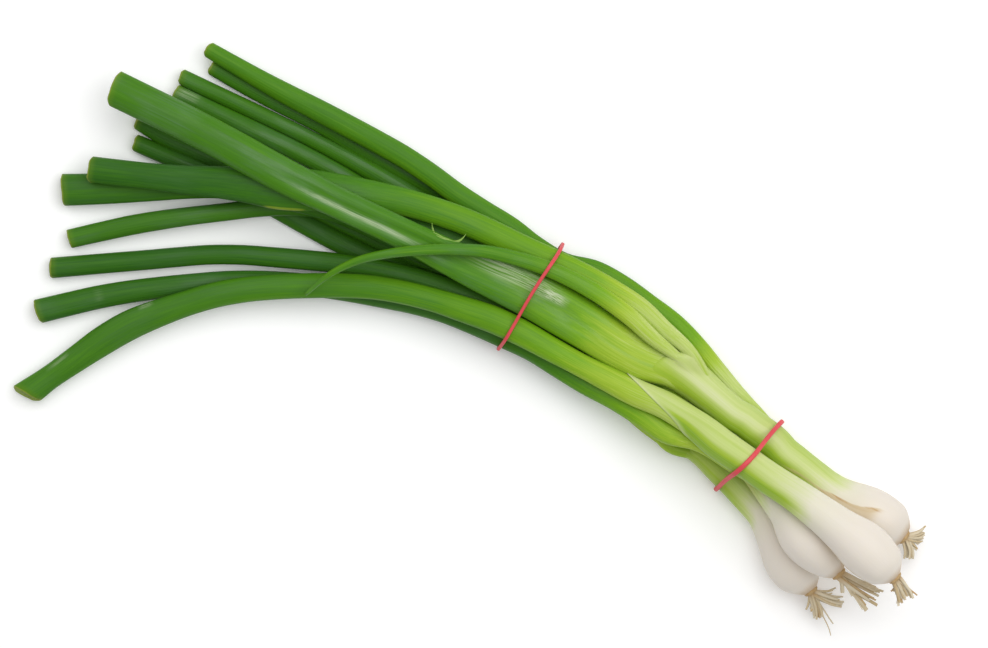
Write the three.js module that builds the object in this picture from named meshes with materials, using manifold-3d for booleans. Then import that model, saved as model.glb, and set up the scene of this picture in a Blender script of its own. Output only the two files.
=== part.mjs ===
// Spring onion bunch: four onions with their leaves cut short, tied by two rubber bands and lying on
// a table. Millimetres, +Z up; the roots end points along +X and the cut leaf ends along -X.
// The origin is under the middle of the bunch, on the surface that it lies on.
import * as THREE from "three";
import { mergeVertices } from "three/addons/utils/BufferGeometryUtils.js";
import Module from "manifold-3d";

const wasm = await Module();
wasm.setup();

// ---- driving dimensions ------------------------------------------------------------------------
const AIR = 0.35; // gap kept between neighbouring pieces
const LEAF_STEP = 11.5; // ring spacing along a leaf
const STEM_STEP = 4.6; // ring spacing along a bulb and its stem
const MOUTH_GAP = 0.4; // between the mouth of a stem and the leaves that start there
const LEAF_SIDES = 10;
const STEM_SIDES = 14;
const THICKEST_LEAF = 9; // what the thickness of a very wide leaf tends to
const LEAF_ROUNDNESS = 8.5; // leaf width at which flattening sets in
const STEM_FLATNESS = 0.97;
const LEAF_WALL = 0.9;
const HOLLOW_DEPTH = 7; // how far the open end of a cut leaf is hollow
const HOLLOW_TAPER = 0.9;
const BAND_WIDTH = 2.2;
const BAND_THICKNESS = 1.2;
const BAND_SIDES = 52;
const SECTION_POINTS = 20;
const BAND_SLACK = 0.25; // room for the band to cut its corners

// Where the two rubber bands cross the bunch: the two ends of each, seen from above.
const BANDS = [
  { name: "rubber_band_at_leaves", from: [10.9, 35.6], to: [5.4, -6.3] },
  { name: "rubber_band_at_stems", from: [109.1, 9.6], to: [97.6, -21.8] },
];

// ---- the onions --------------------------------------------------------------------------------
// Each stop on a route is [x, y, height of the middle, width]. A bulb's route runs from its root
// plate through the white bulb and up the stem to the mouth that its leaves come out of.
const ONIONS = {
  a: [
    [144, -41.5, 9.6, 6.5], [140.5, -39.5, 9.6, 14.1], [136, -37, 9.6, 18.1], [131.5, -34, 9.6, 18.5],
    [124.5, -28.5, 9.2, 15.2], [117, -23, 8.6, 12.7], [110, -20, 8.2, 12.1], [100.5, -16, 8, 12],
    [87, -11.5, 8, 11.8], [76.5, -10.5, 8, 11.6],
  ],
  b: [
    [149.5, -31.5, 25, 6.1], [145, -29.5, 25, 13.3], [138.5, -26.5, 25, 18], [132, -24, 24.5, 18],
    [125.5, -19.5, 23, 15.1], [119, -16.5, 21.5, 12.2], [110.5, -12, 18.8, 11.2],
    [102.5, -8.5, 16.8, 10.8], [96, -6, 15.5, 10.1],
  ],
  c: [
    [167.5, -24.5, 37, 6.4], [163.5, -23, 37.5, 15], [158, -21, 38, 18.2], [152, -19, 38, 18.9],
    [142.5, -16.5, 38, 15.2], [134.5, -14.5, 37, 13.4], [123, -12, 34.5, 12], [113.5, -10.5, 31.5, 11.8],
    [103, -8.5, 28.5, 11.8], [90, -6, 26, 12.2], [78.5, -3, 24, 12.2], [68.5, -1.5, 22.5, 11.1],
  ],
  d: [
    [167, -11, 10, 6.5], [163, -10, 10, 15.2], [157.5, -8, 10, 19.2], [151, -7, 10, 19.5],
    [143.5, -6.5, 10.5, 16.6], [136.5, -5.5, 11, 13.4], [127, -3, 12, 12.5], [115, 0, 13, 12.6],
    [107.5, 3.5, 13.5, 13], [98, 4.5, 14.5, 12.3], [87, 7, 15.5, 12.3], [76.5, 11, 16.5, 12.6],
    [67, 15, 17, 12.3],
  ],
};

// Leaves, from where each comes out of its stem to its cut end. "shown" leaves lie on the outside
// of the bunch and keep to their routes; the others may shift sideways to make room.
const LEAVES = [
  { name: "onion_d_leaf_1", onion: "d", beside: true, shown: true, route: [
    [102.5, 8.5, 12.5, 1.8], [96, 10.5, 12.5, 3.6], [85.5, 15, 12.5, 5.4], [74.5, 20.5, 12, 6.1],
    [64, 25.5, 11.5, 6.5], [45.5, 30, 11, 6.9], [27.5, 33, 10.5, 7.2], [10.5, 31.5, 10.5, 7.6],
    [-10, 36.5, 10, 8], [-28.5, 38, 9.5, 8.1], [-54, 42, 9, 8.3], [-84.5, 44.5, 8.5, 8.3],
    [-109.5, 46, 7.5, 7.6], [-135.5, 48.5, 6.5, 6.9]] },
  { name: "onion_d_leaf_2", onion: "d", beside: true, route: [
    [98, 6.5, 4.5, 1.8], [86.5, 11.5, 4.5, 4], [69, 19.5, 4.5, 5.1], [51, 24.5, 4.5, 5.8],
    [31.5, 28.5, 4.5, 6.2], [10, 29, 4.5, 6.5], [-12, 32.5, 4, 6.7], [-31, 35.5, 3.5, 6.9],
    [-49.5, 37.5, 3, 7.3], [-83, 40, 3, 7.3], [-115.5, 42, 3, 6.5], [-132, 43.5, 2.5, 5.8]] },
  { name: "onion_d_leaf_3", onion: "d", shown: true, route: [
    [66, 13, 18, 9], [58.5, 11.5, 18.5, 11.4], [46.5, 11.5, 18.5, 13.7], [32.5, 13.5, 18.5, 15.1],
    [13, 15, 18.5, 16.9], [-4.5, 15.5, 19.5, 16.2], [-20, 15.5, 21.5, 13.7], [-34.5, 16, 23.5, 11.9],
    [-47.5, 16.5, 25, 11.3], [-67.5, 17, 26.5, 11.5], [-91.5, 18, 25.5, 12.9], [-122.5, 20.5, 21.5, 13],
    [-160, 22, 16.5, 13]] },
  { name: "onion_d_leaf_4", onion: "d", shown: true, route: [
    [67.5, 18.5, 19.5, 4.7], [60.5, 20.5, 18.5, 6.5], [45.5, 26, 18, 7.9], [32, 28, 17.5, 8.7],
    [19.5, 29, 17.5, 9], [-2, 29, 17.5, 9.7], [-23, 29.5, 17.5, 9.7], [-47.5, 27, 17.5, 9.7],
    [-81, 19.5, 18, 9.4], [-101.5, 11.5, 17, 9.4], [-130, 0, 13.5, 9.4], [-156.5, -8.5, 9.5, 9.4]] },
  { name: "onion_d_leaf_5", onion: "d", shown: true, pointed: true, route: [
    [65.5, 16.2, 21.8, 3.6], [52.5, 19.5, 22.5, 5.8], [41.5, 23, 23, 6.5], [26.5, 25.5, 23, 6.3],
    [9, 26, 23, 5.8], [-11, 23, 24, 4.9], [-25.5, 18, 25.5, 4.1], [-39.5, 11, 26.5, 3.8],
    [-49.5, 4.5, 25, 3.2], [-58, -3, 22.5, 2.7], [-64.5, -13.5, 19, 1.8], [-66.5, -18, 17.5, 1.3]] },
  { name: "onion_c_leaf_1", onion: "c", shown: true, slant: 0.45, route: [
    [67.5, -1.5, 22.5, 9.8], [58, -1.5, 21.5, 10.2], [38.5, 0.5, 19.5, 10.4], [25.5, 1.5, 18.5, 10.6],
    [6.5, 2, 17.5, 10.3], [-12, 0.5, 16, 9.6], [-24, -1, 14.5, 8.8], [-43, -5, 12.5, 8.9],
    [-61, -12, 11, 9.2], [-87, -25, 9, 9.4], [-101, -35, 8, 9.4], [-119, -53.5, 6.5, 9.2],
    [-130.5, -69.5, 5.5, 8.9], [-140.5, -85, 4.5, 8.7], [-145, -92.5, 4.5, 9.8]] },
  { name: "onion_c_leaf_2", onion: "c", beside: true, shown: true, route: [
    [84.5, -7.5, 20, 2], [77.5, -9, 18, 5], [66, -7.5, 16, 7.2], [57.5, -6.5, 14.5, 7.9],
    [35, -5, 11.5, 8.3], [18, -2.5, 10, 8.3], [6, -2.5, 9, 8.3], [-21, -3.5, 7, 8.3],
    [-41, -7.5, 5.5, 8.3], [-64, -13.5, 4, 8.2], [-88.5, -22.5, 3.5, 7.8], [-109.5, -33.5, 3.5, 7.8],
    [-131.5, -47, 3.5, 8.3], [-153.5, -63.5, 3.5, 8.7]] },
  { name: "onion_b_leaf_1", onion: "b", route: [
    [95.5, -4, 18, 4.6], [82, -1.5, 15.5, 4.9], [72.5, 1, 13.5, 5.4], [53.5, 9, 11.5, 7.2],
    [30, 17.5, 11, 9], [9, 22, 11, 10.1], [-18.5, 20.5, 11, 10.5], [-45, 17, 11.5, 10.5],
    [-67, 13.5, 12, 10.1], [-89.5, 10.5, 12, 9.8], [-101.5, 8.5, 11.5, 9.8], [-114.5, 4.5, 10, 10.1],
    [-131, -3, 8, 10.5], [-163.5, -18.5, 4.5, 11.6]] },
  { name: "onion_b_leaf_2", onion: "b", route: [
    [95.5, -3.6, 13.2, 4.4], [81.5, 0, 9.5, 4.7], [74, 4.5, 6.5, 5.1], [57.5, 10.5, 5, 5.6],
    [34, 17.5, 4.5, 6.2], [9, 22, 4.5, 6.5], [-17.5, 26.5, 4, 6.5], [-51, 30, 3.5, 6.2],
    [-80, 34, 3, 5.8], [-140.5, 35.5, 3, 5.8]] },
  { name: "onion_b_leaf_3", onion: "b", route: [
    [95.5, -8.2, 14.4, 4.2], [82.5, -3, 9.5, 4.7], [72.5, 0.5, 6.5, 5.1], [55.5, 5.5, 5, 5.6],
    [33, 11.5, 4.5, 6], [8.5, 16, 4.5, 6.2], [-18.5, 20.5, 4, 6.2], [-44.5, 24.5, 3.5, 6],
    [-78, 28.5, 3, 5.8], [-140, 30.5, 3, 5.8]] },
  { name: "onion_a_leaf_1", onion: "a", route: [
    [76, -13, 10.6, 4.7], [62, -9, 11, 4.9], [38.5, -0.5, 10.5, 6.5], [7, 5, 10.5, 7.2],
    [-23.5, 5, 9.5, 7.2], [-49.5, 0.5, 8, 7.2], [-70.5, -6, 6, 7.4], [-83.5, -10.5, 5.5, 7.4],
    [-100.5, -17, 4.5, 7.3], [-126.5, -31, 3.5, 7.4], [-155.5, -47, 3, 7.6]] },
  { name: "onion_a_leaf_2", onion: "a", route: [
    [76, -8, 10.6, 4.7], [62, -5.5, 11, 4.9], [40.5, 3.5, 10.5, 6.5], [8, 13, 10.5, 7.2],
    [-23, 12.5, 9.5, 7.2], [-51, 12.5, 9, 7.1], [-74, 11, 8.5, 6.9], [-88, 6.5, 8.5, 6.7],
    [-110, -5.5, 7, 6.7], [-132, -19.5, 5, 7.3], [-153, -35, 3, 6.9]] },
  { name: "onion_a_leaf_3", onion: "a", route: [
    [76, -8, 5.6, 4.7], [64, -7.5, 5, 4.8], [43, -1.5, 4.5, 5.4], [7.5, 9.5, 4.5, 6.2],
    [-18, 10.5, 4, 6.2], [-62.5, 12, 3, 6.2], [-103, 14, 3, 6.2], [-148.5, 14.5, 3, 5.8]] },
  { name: "onion_a_leaf_4", onion: "a", route: [
    [76, -13, 5.6, 4.7], [63.5, -12, 5, 4.8], [40, -4.5, 4.5, 5.4], [6.5, 3, 4.5, 6.2],
    [-23, 4, 4, 6.4], [-60.5, 4, 3, 6.5], [-100, 7, 3, 6.5], [-120, 7.5, 3, 6.5], [-146, 7, 3, 5.8]] },
];

// ---- spines: rings strung along a route --------------------------------------------------------
const UP = new THREE.Vector3(0, 0, 1);

function leafThickness(width) {
  return THICKEST_LEAF * (1 - Math.exp(-width / LEAF_ROUNDNESS));
}

// Strings evenly spaced points along a smooth curve through the route, each with half a width.
function spineOf(route, step, thicknessOf) {
  const curve = new THREE.CatmullRomCurve3(
    route.map(([x, y, z]) => new THREE.Vector3(x, y, z)), false, "centripetal");
  const widths = new THREE.CatmullRomCurve3(
    route.map(([x, y, z, width]) => new THREE.Vector3(width, 0, 0)), false, "catmullrom", 0.5);
  const count = Math.round(curve.getLength() / step);
  const points = [];
  for (let i = 0; i <= count; i++) {
    const at = curve.getPointAt(i / count);
    const width = widths.getPoint(curve.getUtoTmapping(i / count)).x;
    points.push({ at, home: at.clone(), halfWidth: width / 2, halfThickness: thicknessOf(width) / 2 });
  }
  aim(points);
  return points;
}

// Gives each point its direction along the spine and the two directions of its section.
function aim(points) {
  points.forEach((point, i) => {
    const next = points[Math.min(i + 1, points.length - 1)].at;
    const last = points[Math.max(i - 1, 0)].at;
    point.along = next.clone().sub(last).normalize();
    point.across = point.along.clone().cross(UP).normalize();
    point.upward = point.across.clone().cross(point.along);
  });
}

// Sets the start of a leaf just clear of the flat mouth of the stem that it comes out of.
function seat(leaf) {
  if (leaf.beside) return;
  const mouth = stems[leaf.onion].at(-1);
  const start = leaf.points[0];
  const ahead = start.at.clone().sub(mouth.at).dot(mouth.along);
  start.at.addScaledVector(mouth.along, MOUTH_GAP - ahead);
  start.across = mouth.across.clone();
  start.upward = mouth.upward.clone();
}

// ---- easing the pieces apart -------------------------------------------------------------------
const ROUNDS = 420;
const PULLED_ROUNDS = 300; // in these a leaf is also drawn back towards its route
const FLOOR_LIFT = BAND_THICKNESS + AIR + 0.3; // how far the bands hold the bunch off the table
const LIFT_REACH = 22; // distance from a band over which that lift fades

// How far a section reaches from its middle in a direction.
function reach(point, direction) {
  return Math.hypot(
    point.halfWidth * direction.dot(point.across), point.halfThickness * direction.dot(point.upward));
}

function floorUnder(at) {
  const lifts = BANDS.map(({ from, to }) => {
    const middle = (from[0] + to[0]) / 2;
    return FLOOR_LIFT * Math.max(0, 1 - (Math.abs(at.x - middle) / LIFT_REACH) ** 2);
  });
  return Math.max(...lifts);
}

const away = new THREE.Vector3();
const nearest = new THREE.Vector3();
const side = new THREE.Vector3();

// Pushes one point and the part of another spine that is nearest to it apart until both fit.
function pushApart(point, freedom, others, otherFreedom) {
  let best = null;
  for (let j = 0; j + 1 < others.length; j++) {
    side.subVectors(others[j + 1].at, others[j].at);
    const share = THREE.MathUtils.clamp(
      away.subVectors(point.at, others[j].at).dot(side) / side.lengthSq(), 0, 1);
    nearest.copy(others[j].at).addScaledVector(side, share);
    const distance = nearest.distanceTo(point.at);
    if (!best || distance < best.distance) best = { distance, j, share, at: nearest.clone() };
  }
  const [a, b] = [others[best.j], others[best.j + 1]];
  away.subVectors(point.at, best.at);
  const pastEnd = (best.j === 0 && best.share === 0) ||
    (best.j + 2 === others.length && best.share === 1);
  if (pastEnd && Math.abs(away.dot(a.along)) > AIR * 0.6) return;
  if (best.distance < 1e-6) away.copy(UP);
  away.normalize();
  const other = best.share < 0.5 ? a : b;
  const lack = reach(point, away) + reach(other, away) + AIR - best.distance;
  if (lack <= 0) return;
  const total = freedom.z + otherFreedom.z;
  point.at.addScaledVector(side.copy(away).multiply(freedom), lack / total);
  side.copy(away).multiply(otherFreedom);
  a.at.addScaledVector(side, (-lack / total) * (1 - best.share));
  b.at.addScaledVector(side, (-lack / total) * best.share);
}

function easeApart(strands) {
  for (let round = 0; round < ROUNDS; round++) {
    for (const { points, freedom, pull } of strands) {
      if (round >= PULLED_ROUNDS) break;
      const shifts = points.map((point) => point.at.clone().sub(point.home));
      points.forEach((point, i) => {
        const before = shifts[Math.max(i - 1, 0)];
        const after = shifts[Math.min(i + 1, points.length - 1)];
        const eased = shifts[i].clone().multiplyScalar(0.4)
          .addScaledVector(before, 0.3).addScaledVector(after, 0.3);
        point.at.copy(point.home).add(eased.multiplyScalar(1 - pull));
      });
    }
    for (const strand of strands) aim(strand.points);
    for (let i = 0; i < strands.length; i++) {
      for (let j = 0; j < strands.length; j++) {
        if (i === j) continue;
        for (const point of strands[i].points)
          pushApart(point, strands[i].freedom, strands[j].points, strands[j].freedom);
      }
    }
    for (const { points } of strands)
      for (const point of points)
        point.at.z = Math.max(point.at.z, point.halfThickness + floorUnder(point.at));
  }
  for (const strand of strands) aim(strand.points);
}

const stemFreedom = new THREE.Vector3(0.15, 0.15, 0.3);
const shownFreedom = new THREE.Vector3(0.3, 0.3, 1);
const hiddenFreedom = new THREE.Vector3(1, 1, 1);

const stems = Object.fromEntries(Object.entries(ONIONS).map(([key, route]) =>
  [key, spineOf(route, STEM_STEP, (width) => width * STEM_FLATNESS)]));
const leaves = LEAVES.map((leaf) => ({ ...leaf, points: spineOf(leaf.route, LEAF_STEP, leafThickness) }));

for (const leaf of leaves) seat(leaf);
easeApart([
  ...Object.values(stems).map((points) => ({ points, freedom: stemFreedom, pull: 0.2 })),
  ...leaves.map(({ points, shown }) => ({
    points, freedom: shown ? shownFreedom : hiddenFreedom, pull: shown ? 0.08 : 0.02 })),
]);
for (const leaf of leaves) seat(leaf);

// ---- solids ------------------------------------------------------------------------------------
function ringAt({ at, across, upward }, halfWidth, halfThickness, sides) {
  return Array.from({ length: sides }, (_, i) => {
    const turn = (i / sides) * Math.PI * 2;
    return at.clone()
      .addScaledVector(across, halfWidth * Math.cos(turn))
      .addScaledVector(upward, halfThickness * Math.sin(turn));
  });
}

// Skins a row of rings and closes both ends.
function skin(rings) {
  const sides = rings[0].length;
  const last = (rings.length - 1) * sides;
  const index = [];
  for (let k = 0; k + 1 < rings.length; k++) {
    for (let i = 0; i < sides; i++) {
      const [a, b] = [k * sides + i, k * sides + ((i + 1) % sides)];
      index.push(a, b + sides, b, a, a + sides, b + sides);
    }
  }
  for (let i = 1; i + 1 < sides; i++) {
    index.push(0, i, i + 1);
    index.push(last, last + i + 1, last + i);
  }
  return new THREE.BufferGeometry().setFromPoints(rings.flat()).setIndex(index);
}

// Skins rings that follow a closed loop.
function skinLoop(rings) {
  const sides = rings[0].length;
  const index = [];
  rings.forEach((_, k) => {
    const next = ((k + 1) % rings.length) * sides;
    for (let i = 0; i < sides; i++) {
      const [a, b] = [i, (i + 1) % sides];
      index.push(k * sides + a, k * sides + b, next + b, k * sides + a, next + b, next + a);
    }
  });
  return new THREE.BufferGeometry().setFromPoints(rings.flat()).setIndex(index);
}

// A cut leaf is a tube: its end is open for a short way, and may be cut at a slant.
function leafGeometry({ points, pointed, slant = 0 }) {
  const rings = points.map((p) => ringAt(p, p.halfWidth, p.halfThickness, LEAF_SIDES));
  if (!pointed) {
    const end = points.at(-1);
    const tip = { ...end, across: end.across.clone().addScaledVector(end.along, slant) };
    const inner = [tip.halfWidth - LEAF_WALL, tip.halfThickness - LEAF_WALL];
    const bottom = { ...end, at: end.at.clone().addScaledVector(end.along, -HOLLOW_DEPTH) };
    rings.pop();
    rings.push(ringAt(tip, tip.halfWidth, tip.halfThickness, LEAF_SIDES));
    rings.push(ringAt(tip, ...inner, LEAF_SIDES));
    rings.push(ringAt(bottom, ...inner.map((size) => size * HOLLOW_TAPER), LEAF_SIDES));
  }
  return skin(rings);
}

function stemGeometry(points) {
  return skin(points.map((p) => ringAt(p, p.halfWidth, p.halfThickness, STEM_SIDES)));
}

// ---- rubber bands ------------------------------------------------------------------------------
// Where a spine crosses the upright plane of a band, as points of its section in that plane.
function sectionIn(points, origin, sideways, normal, grow) {
  for (let i = 0; i + 1 < points.length; i++) {
    const [a, b] = [points[i], points[i + 1]];
    const [da, db] = [a, b].map((p) => p.at.clone().sub(origin).dot(normal));
    if (da * db > 0) continue;
    const share = da / (da - db);
    const middle = a.at.clone().lerp(b.at, share).sub(origin);
    const skew = Math.abs(a.along.dot(normal));
    const halfWidth = THREE.MathUtils.lerp(a.halfWidth, b.halfWidth, share) / skew + grow;
    const halfThickness = THREE.MathUtils.lerp(a.halfThickness, b.halfThickness, share) + grow;
    return Array.from({ length: SECTION_POINTS }, (_, k) => {
      const turn = (k / SECTION_POINTS) * Math.PI * 2;
      return new THREE.Vector2(
        middle.dot(sideways) + halfWidth * Math.cos(turn), middle.z + halfThickness * Math.sin(turn));
    });
  }
  return [];
}

// The tight loop round a set of points, anticlockwise.
function hullOf(points) {
  const sorted = [...points].sort((p, q) => p.x - q.x || p.y - q.y);
  const turnsRight = (o, p, q) => (p.x - o.x) * (q.y - o.y) - (p.y - o.y) * (q.x - o.x) <= 0;
  const half = (list) => {
    const chain = [];
    for (const p of list) {
      while (chain.length > 1 && turnsRight(chain.at(-2), chain.at(-1), p)) chain.pop();
      chain.push(p);
    }
    return chain.slice(0, -1);
  };
  return [...half(sorted), ...half(sorted.reverse())];
}

// A flat band stretched tight round everything that crosses its plane.
function bandGeometry({ from, to }, strands) {
  const origin = new THREE.Vector3((from[0] + to[0]) / 2, (from[1] + to[1]) / 2, 0);
  const sideways = new THREE.Vector3(from[0] - to[0], from[1] - to[1], 0).normalize();
  const normal = sideways.clone().cross(UP);
  const grow = AIR + BAND_THICKNESS / 2 + BAND_SLACK;
  const hull = hullOf(strands.flatMap((points) => sectionIn(points, origin, sideways, normal, grow)));
  const loop = new THREE.CatmullRomCurve3(hull.map(({ x, y }) => new THREE.Vector3(x, y, 0)), true);
  const path = loop.getSpacedPoints(BAND_SIDES).slice(0, -1);
  const rings = path.map((p, i) => {
    const ahead = path[(i + 1) % path.length].clone().sub(path.at(i - 1)).normalize();
    const at = origin.clone().addScaledVector(sideways, p.x).addScaledVector(UP, p.y);
    const outward = sideways.clone().multiplyScalar(ahead.y).addScaledVector(UP, -ahead.x);
    return [[1, 1], [-1, 1], [-1, -1], [1, -1]].map(([w, t]) => at.clone()
      .addScaledVector(normal, (w * BAND_WIDTH) / 2)
      .addScaledVector(outward, (t * BAND_THICKNESS) / 2));
  });
  return skinLoop(rings);
}

// ---- roots -------------------------------------------------------------------------------------
// Each onion's roots hang together in locks: how far a lock reaches from the root plate, how wide it
// fans out, how many roots it has and how wide each root is.
const ROOTS = {
  a: [
    { reach: [11.2, 1.4, -1], fan: 1.9, count: 6, width: 1.3 },
    { reach: [4.7, -8.8, -1.5], fan: 2.2, count: 6, width: 1.3 },
    { reach: [14.4, -11.6, -3], fan: 1.6, count: 2, width: 0.8 },
  ],
  b: [
    { reach: [18.4, -1.7, -2], fan: 2.2, count: 7, width: 1.4 },
    { reach: [18.2, -9.4, -3], fan: 0.9, count: 3, width: 0.9 },
    { reach: [9.5, -4.8, -1], fan: 1.4, count: 3, width: 1.1 },
  ],
  c: [
    { reach: [8.6, -6.6, -2], fan: 2.6, count: 8, width: 1.4 },
    { reach: [5.4, -10.6, -2], fan: 0.8, count: 2, width: 0.9 },
  ],
  d: [
    { reach: [7.4, 3.4, 0], fan: 2.4, count: 6, width: 1.3 },
    { reach: [7.6, -1.5, -1], fan: 1.5, count: 3, width: 1.1 },
    { reach: [6.4, -6, -2], fan: 2, count: 5, width: 1.3 },
  ],
};
const ROOT_THICKNESS = 0.8;
const PLATE_SIDES = 9;
const ROOT_START = 1.45; // depth at which the roots sit in their plate
const LOWEST_ROOT = 0.6; // roots droop no lower than this over the table

// Repeatable scatter between -1 and 1.
function scatterFrom(seed) {
  let state = seed;
  return () => {
    state = (state * 16807) % 2147483647;
    return (state / 2147483647) * 2 - 1;
  };
}

function asSolid(geometry) {
  const merged = mergeVertices(geometry, 1e-4);
  return new wasm.Manifold(new wasm.Mesh({
    numProp: 3, vertProperties: merged.attributes.position.array, triVerts: merged.index.array }));
}

function rootSolid(start, reachBy, width, scatter) {
  const bend = new THREE.Vector3(scatter(), scatter(), scatter() * 0.6).multiplyScalar(1.1);
  const across = reachBy.clone().cross(UP).normalize()
    .addScaledVector(UP, scatter() * 0.7).normalize();
  const through = across.clone().cross(reachBy).normalize();
  const rings = [0, 0.45, 1].map((share) => {
    const at = start.clone().addScaledVector(reachBy, share)
      .addScaledVector(bend, Math.sin(share * Math.PI * 0.8));
    at.z = Math.max(at.z, LOWEST_ROOT + ROOT_THICKNESS / 2);
    return ringAt({ at, across, upward: through },
      (width / 2) * (1.15 - 0.4 * share), (ROOT_THICKNESS / 2) * (1.1 - 0.3 * share), 4);
  });
  return asSolid(skin(rings));
}

function rootsGeometry(stem, locks, seed) {
  const scatter = scatterFrom(seed);
  const outward = stem[0].along.clone().negate();
  const plate = { at: null, across: stem[0].across, upward: stem[0].upward };
  const plateRings = [[2.8, AIR], [3, 1.1], [1.7, 2.1]].map(([radius, depth]) => ringAt(
    { ...plate, at: stem[0].at.clone().addScaledVector(outward, depth) }, radius, radius, PLATE_SIDES));
  let solid = asSolid(skin(plateRings.reverse()));
  for (const { reach: [x, y, z], fan, count, width } of locks) {
    const sideways = new THREE.Vector3(-y, x, 0).normalize();
    for (let i = 0; i < count; i++) {
      const place = count > 1 ? (i / (count - 1)) * 2 - 1 : 0;
      const start = stem[0].at.clone().addScaledVector(outward, ROOT_START)
        .addScaledVector(sideways, place * Math.min(fan, 1.5))
        .addScaledVector(plate.upward, scatter() * 1.2);
      const reachBy = new THREE.Vector3(x, y, z).multiplyScalar(1 + scatter() * 0.12)
        .addScaledVector(sideways, place * fan * 0.6).addScaledVector(UP, scatter() * 2.2);
      solid = solid.add(rootSolid(start, reachBy, width, scatter));
    }
  }
  // Only the outer skin is kept, so a pocket closed in between crossing roots is filled.
  const [skinOfRoots] = solid.decompose().sort((p, q) => q.volume() - p.volume());
  const { vertProperties, triVerts } = skinOfRoots.getMesh();
  return new THREE.BufferGeometry()
    .setAttribute("position", new THREE.BufferAttribute(vertProperties, 3))
    .setIndex(new THREE.BufferAttribute(triVerts, 1));
}

// ---- assembly ----------------------------------------------------------------------------------
const COLOURS = {
  leaf: new THREE.Color(0.16, 0.42, 0.07),
  stem: new THREE.Color(0.86, 0.86, 0.76),
  root: new THREE.Color(0.62, 0.52, 0.33),
  band: new THREE.Color(0.85, 0.12, 0.16),
};

const bunch = new THREE.Group();

function addPiece(name, geometry, color, roughness) {
  geometry.computeVertexNormals();
  const mesh = new THREE.Mesh(geometry, new THREE.MeshStandardMaterial({ color, roughness, metalness: 0 }));
  mesh.name = name;
  bunch.add(mesh);
}

for (const [key, points] of Object.entries(stems))
  addPiece(`onion_${key}_bulb_and_stem`, stemGeometry(points), COLOURS.stem, 0.4);
for (const leaf of leaves) addPiece(leaf.name, leafGeometry(leaf), COLOURS.leaf, 0.45);
Object.entries(ROOTS).forEach(([key, locks], i) =>
  addPiece(`onion_${key}_roots`, rootsGeometry(stems[key], locks, 11 + i), COLOURS.root, 0.8));
const everySpine = [...Object.values(stems), ...leaves.map(({ points }) => points)];
for (const band of BANDS) addPiece(band.name, bandGeometry(band, everySpine), COLOURS.band, 0.5);

// The origin goes under the middle of the bunch, at the level of its lowest point.
const extent = new THREE.Box3().setFromObject(bunch, true);
const middle = extent.getCenter(new THREE.Vector3());
bunch.position.set(-middle.x, -middle.y, -extent.min.z);

const part = new THREE.Group();
part.add(bunch);
export default part;
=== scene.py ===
# %% [markdown]
# # A tied bunch of spring onions
# Four spring onions lie together on a table. Each has a white bulb with a tuft of trimmed roots, a
# pale stem made of leaf bases wrapped round each other, and hollow green leaves cut straight across.
# Two rubber bands hold the bunch.
#
# The plain solids of every piece are the fixed frame. Each piece here takes its line and its size
# from its own solid and adds what the eye looks for: thin hollow ends, fine ribs, sheaths, veins,
# colours that run from white to deep green. All lengths are in metres.

# %% Load the frame
import math

import bmesh
import bpy
import numpy as np
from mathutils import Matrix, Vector


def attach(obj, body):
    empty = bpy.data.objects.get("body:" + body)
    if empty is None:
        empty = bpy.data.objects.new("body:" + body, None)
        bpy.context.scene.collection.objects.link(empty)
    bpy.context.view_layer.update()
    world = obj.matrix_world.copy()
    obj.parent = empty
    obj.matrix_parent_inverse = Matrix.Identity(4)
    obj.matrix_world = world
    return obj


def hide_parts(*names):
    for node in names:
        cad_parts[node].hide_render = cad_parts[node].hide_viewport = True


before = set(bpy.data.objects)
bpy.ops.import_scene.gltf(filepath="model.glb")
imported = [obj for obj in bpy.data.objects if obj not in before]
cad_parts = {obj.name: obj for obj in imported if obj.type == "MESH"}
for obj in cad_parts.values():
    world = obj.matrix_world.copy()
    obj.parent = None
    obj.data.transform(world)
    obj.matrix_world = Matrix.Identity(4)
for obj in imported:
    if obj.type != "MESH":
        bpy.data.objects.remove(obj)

MM = 0.001
UP = np.array([0.0, 0.0, 1.0])


def linked(name, data):
    """Makes an object of a mesh, a camera or a light and puts it in the scene."""
    made = bpy.data.objects.new(name, data)
    bpy.context.scene.collection.objects.link(made)
    return made


def mesh_of(name, points, faces, edges=()):
    mesh = bpy.data.meshes.new(name)
    mesh.from_pydata(np.array(points).tolist(), edges, faces)
    return mesh


def circle(sides):
    """Even angles round a ring, as one row."""
    return np.linspace(0, 2 * np.pi, sides, endpoint=False)[None]


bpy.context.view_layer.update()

# %% [markdown]
# ## The camera
# The bunch is seen from straight above, from two metres away through a long lens, so near and far
# pieces keep nearly the same scale. The camera is turned about its own line of sight, which lays the
# bunch across the picture from upper left to lower right.

# %% Camera
PICTURE_WIDTH = 988  # pixels
CAMERA_HEIGHT = 2.0
FOCUS_HEIGHT = 20 * MM  # the height at which one pixel is as wide as the next line says
PIXEL = 0.36 * MM
PICTURE_CENTRE = (-7.41 * MM, 20.60 * MM)
TURN = math.radians(24)
SENSOR = 36  # millimetres, as Blender counts it

camera_data = bpy.data.cameras.new("camera")
camera_data.sensor_width = SENSOR
camera_data.lens = SENSOR * (CAMERA_HEIGHT - FOCUS_HEIGHT) / (PICTURE_WIDTH * PIXEL)
camera = linked("camera", camera_data)
camera.location = (*PICTURE_CENTRE, CAMERA_HEIGHT)
camera.rotation_euler = (0, 0, TURN)
bpy.context.scene.camera = camera
print("lens", round(camera_data.lens, 1), "mm")

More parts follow.
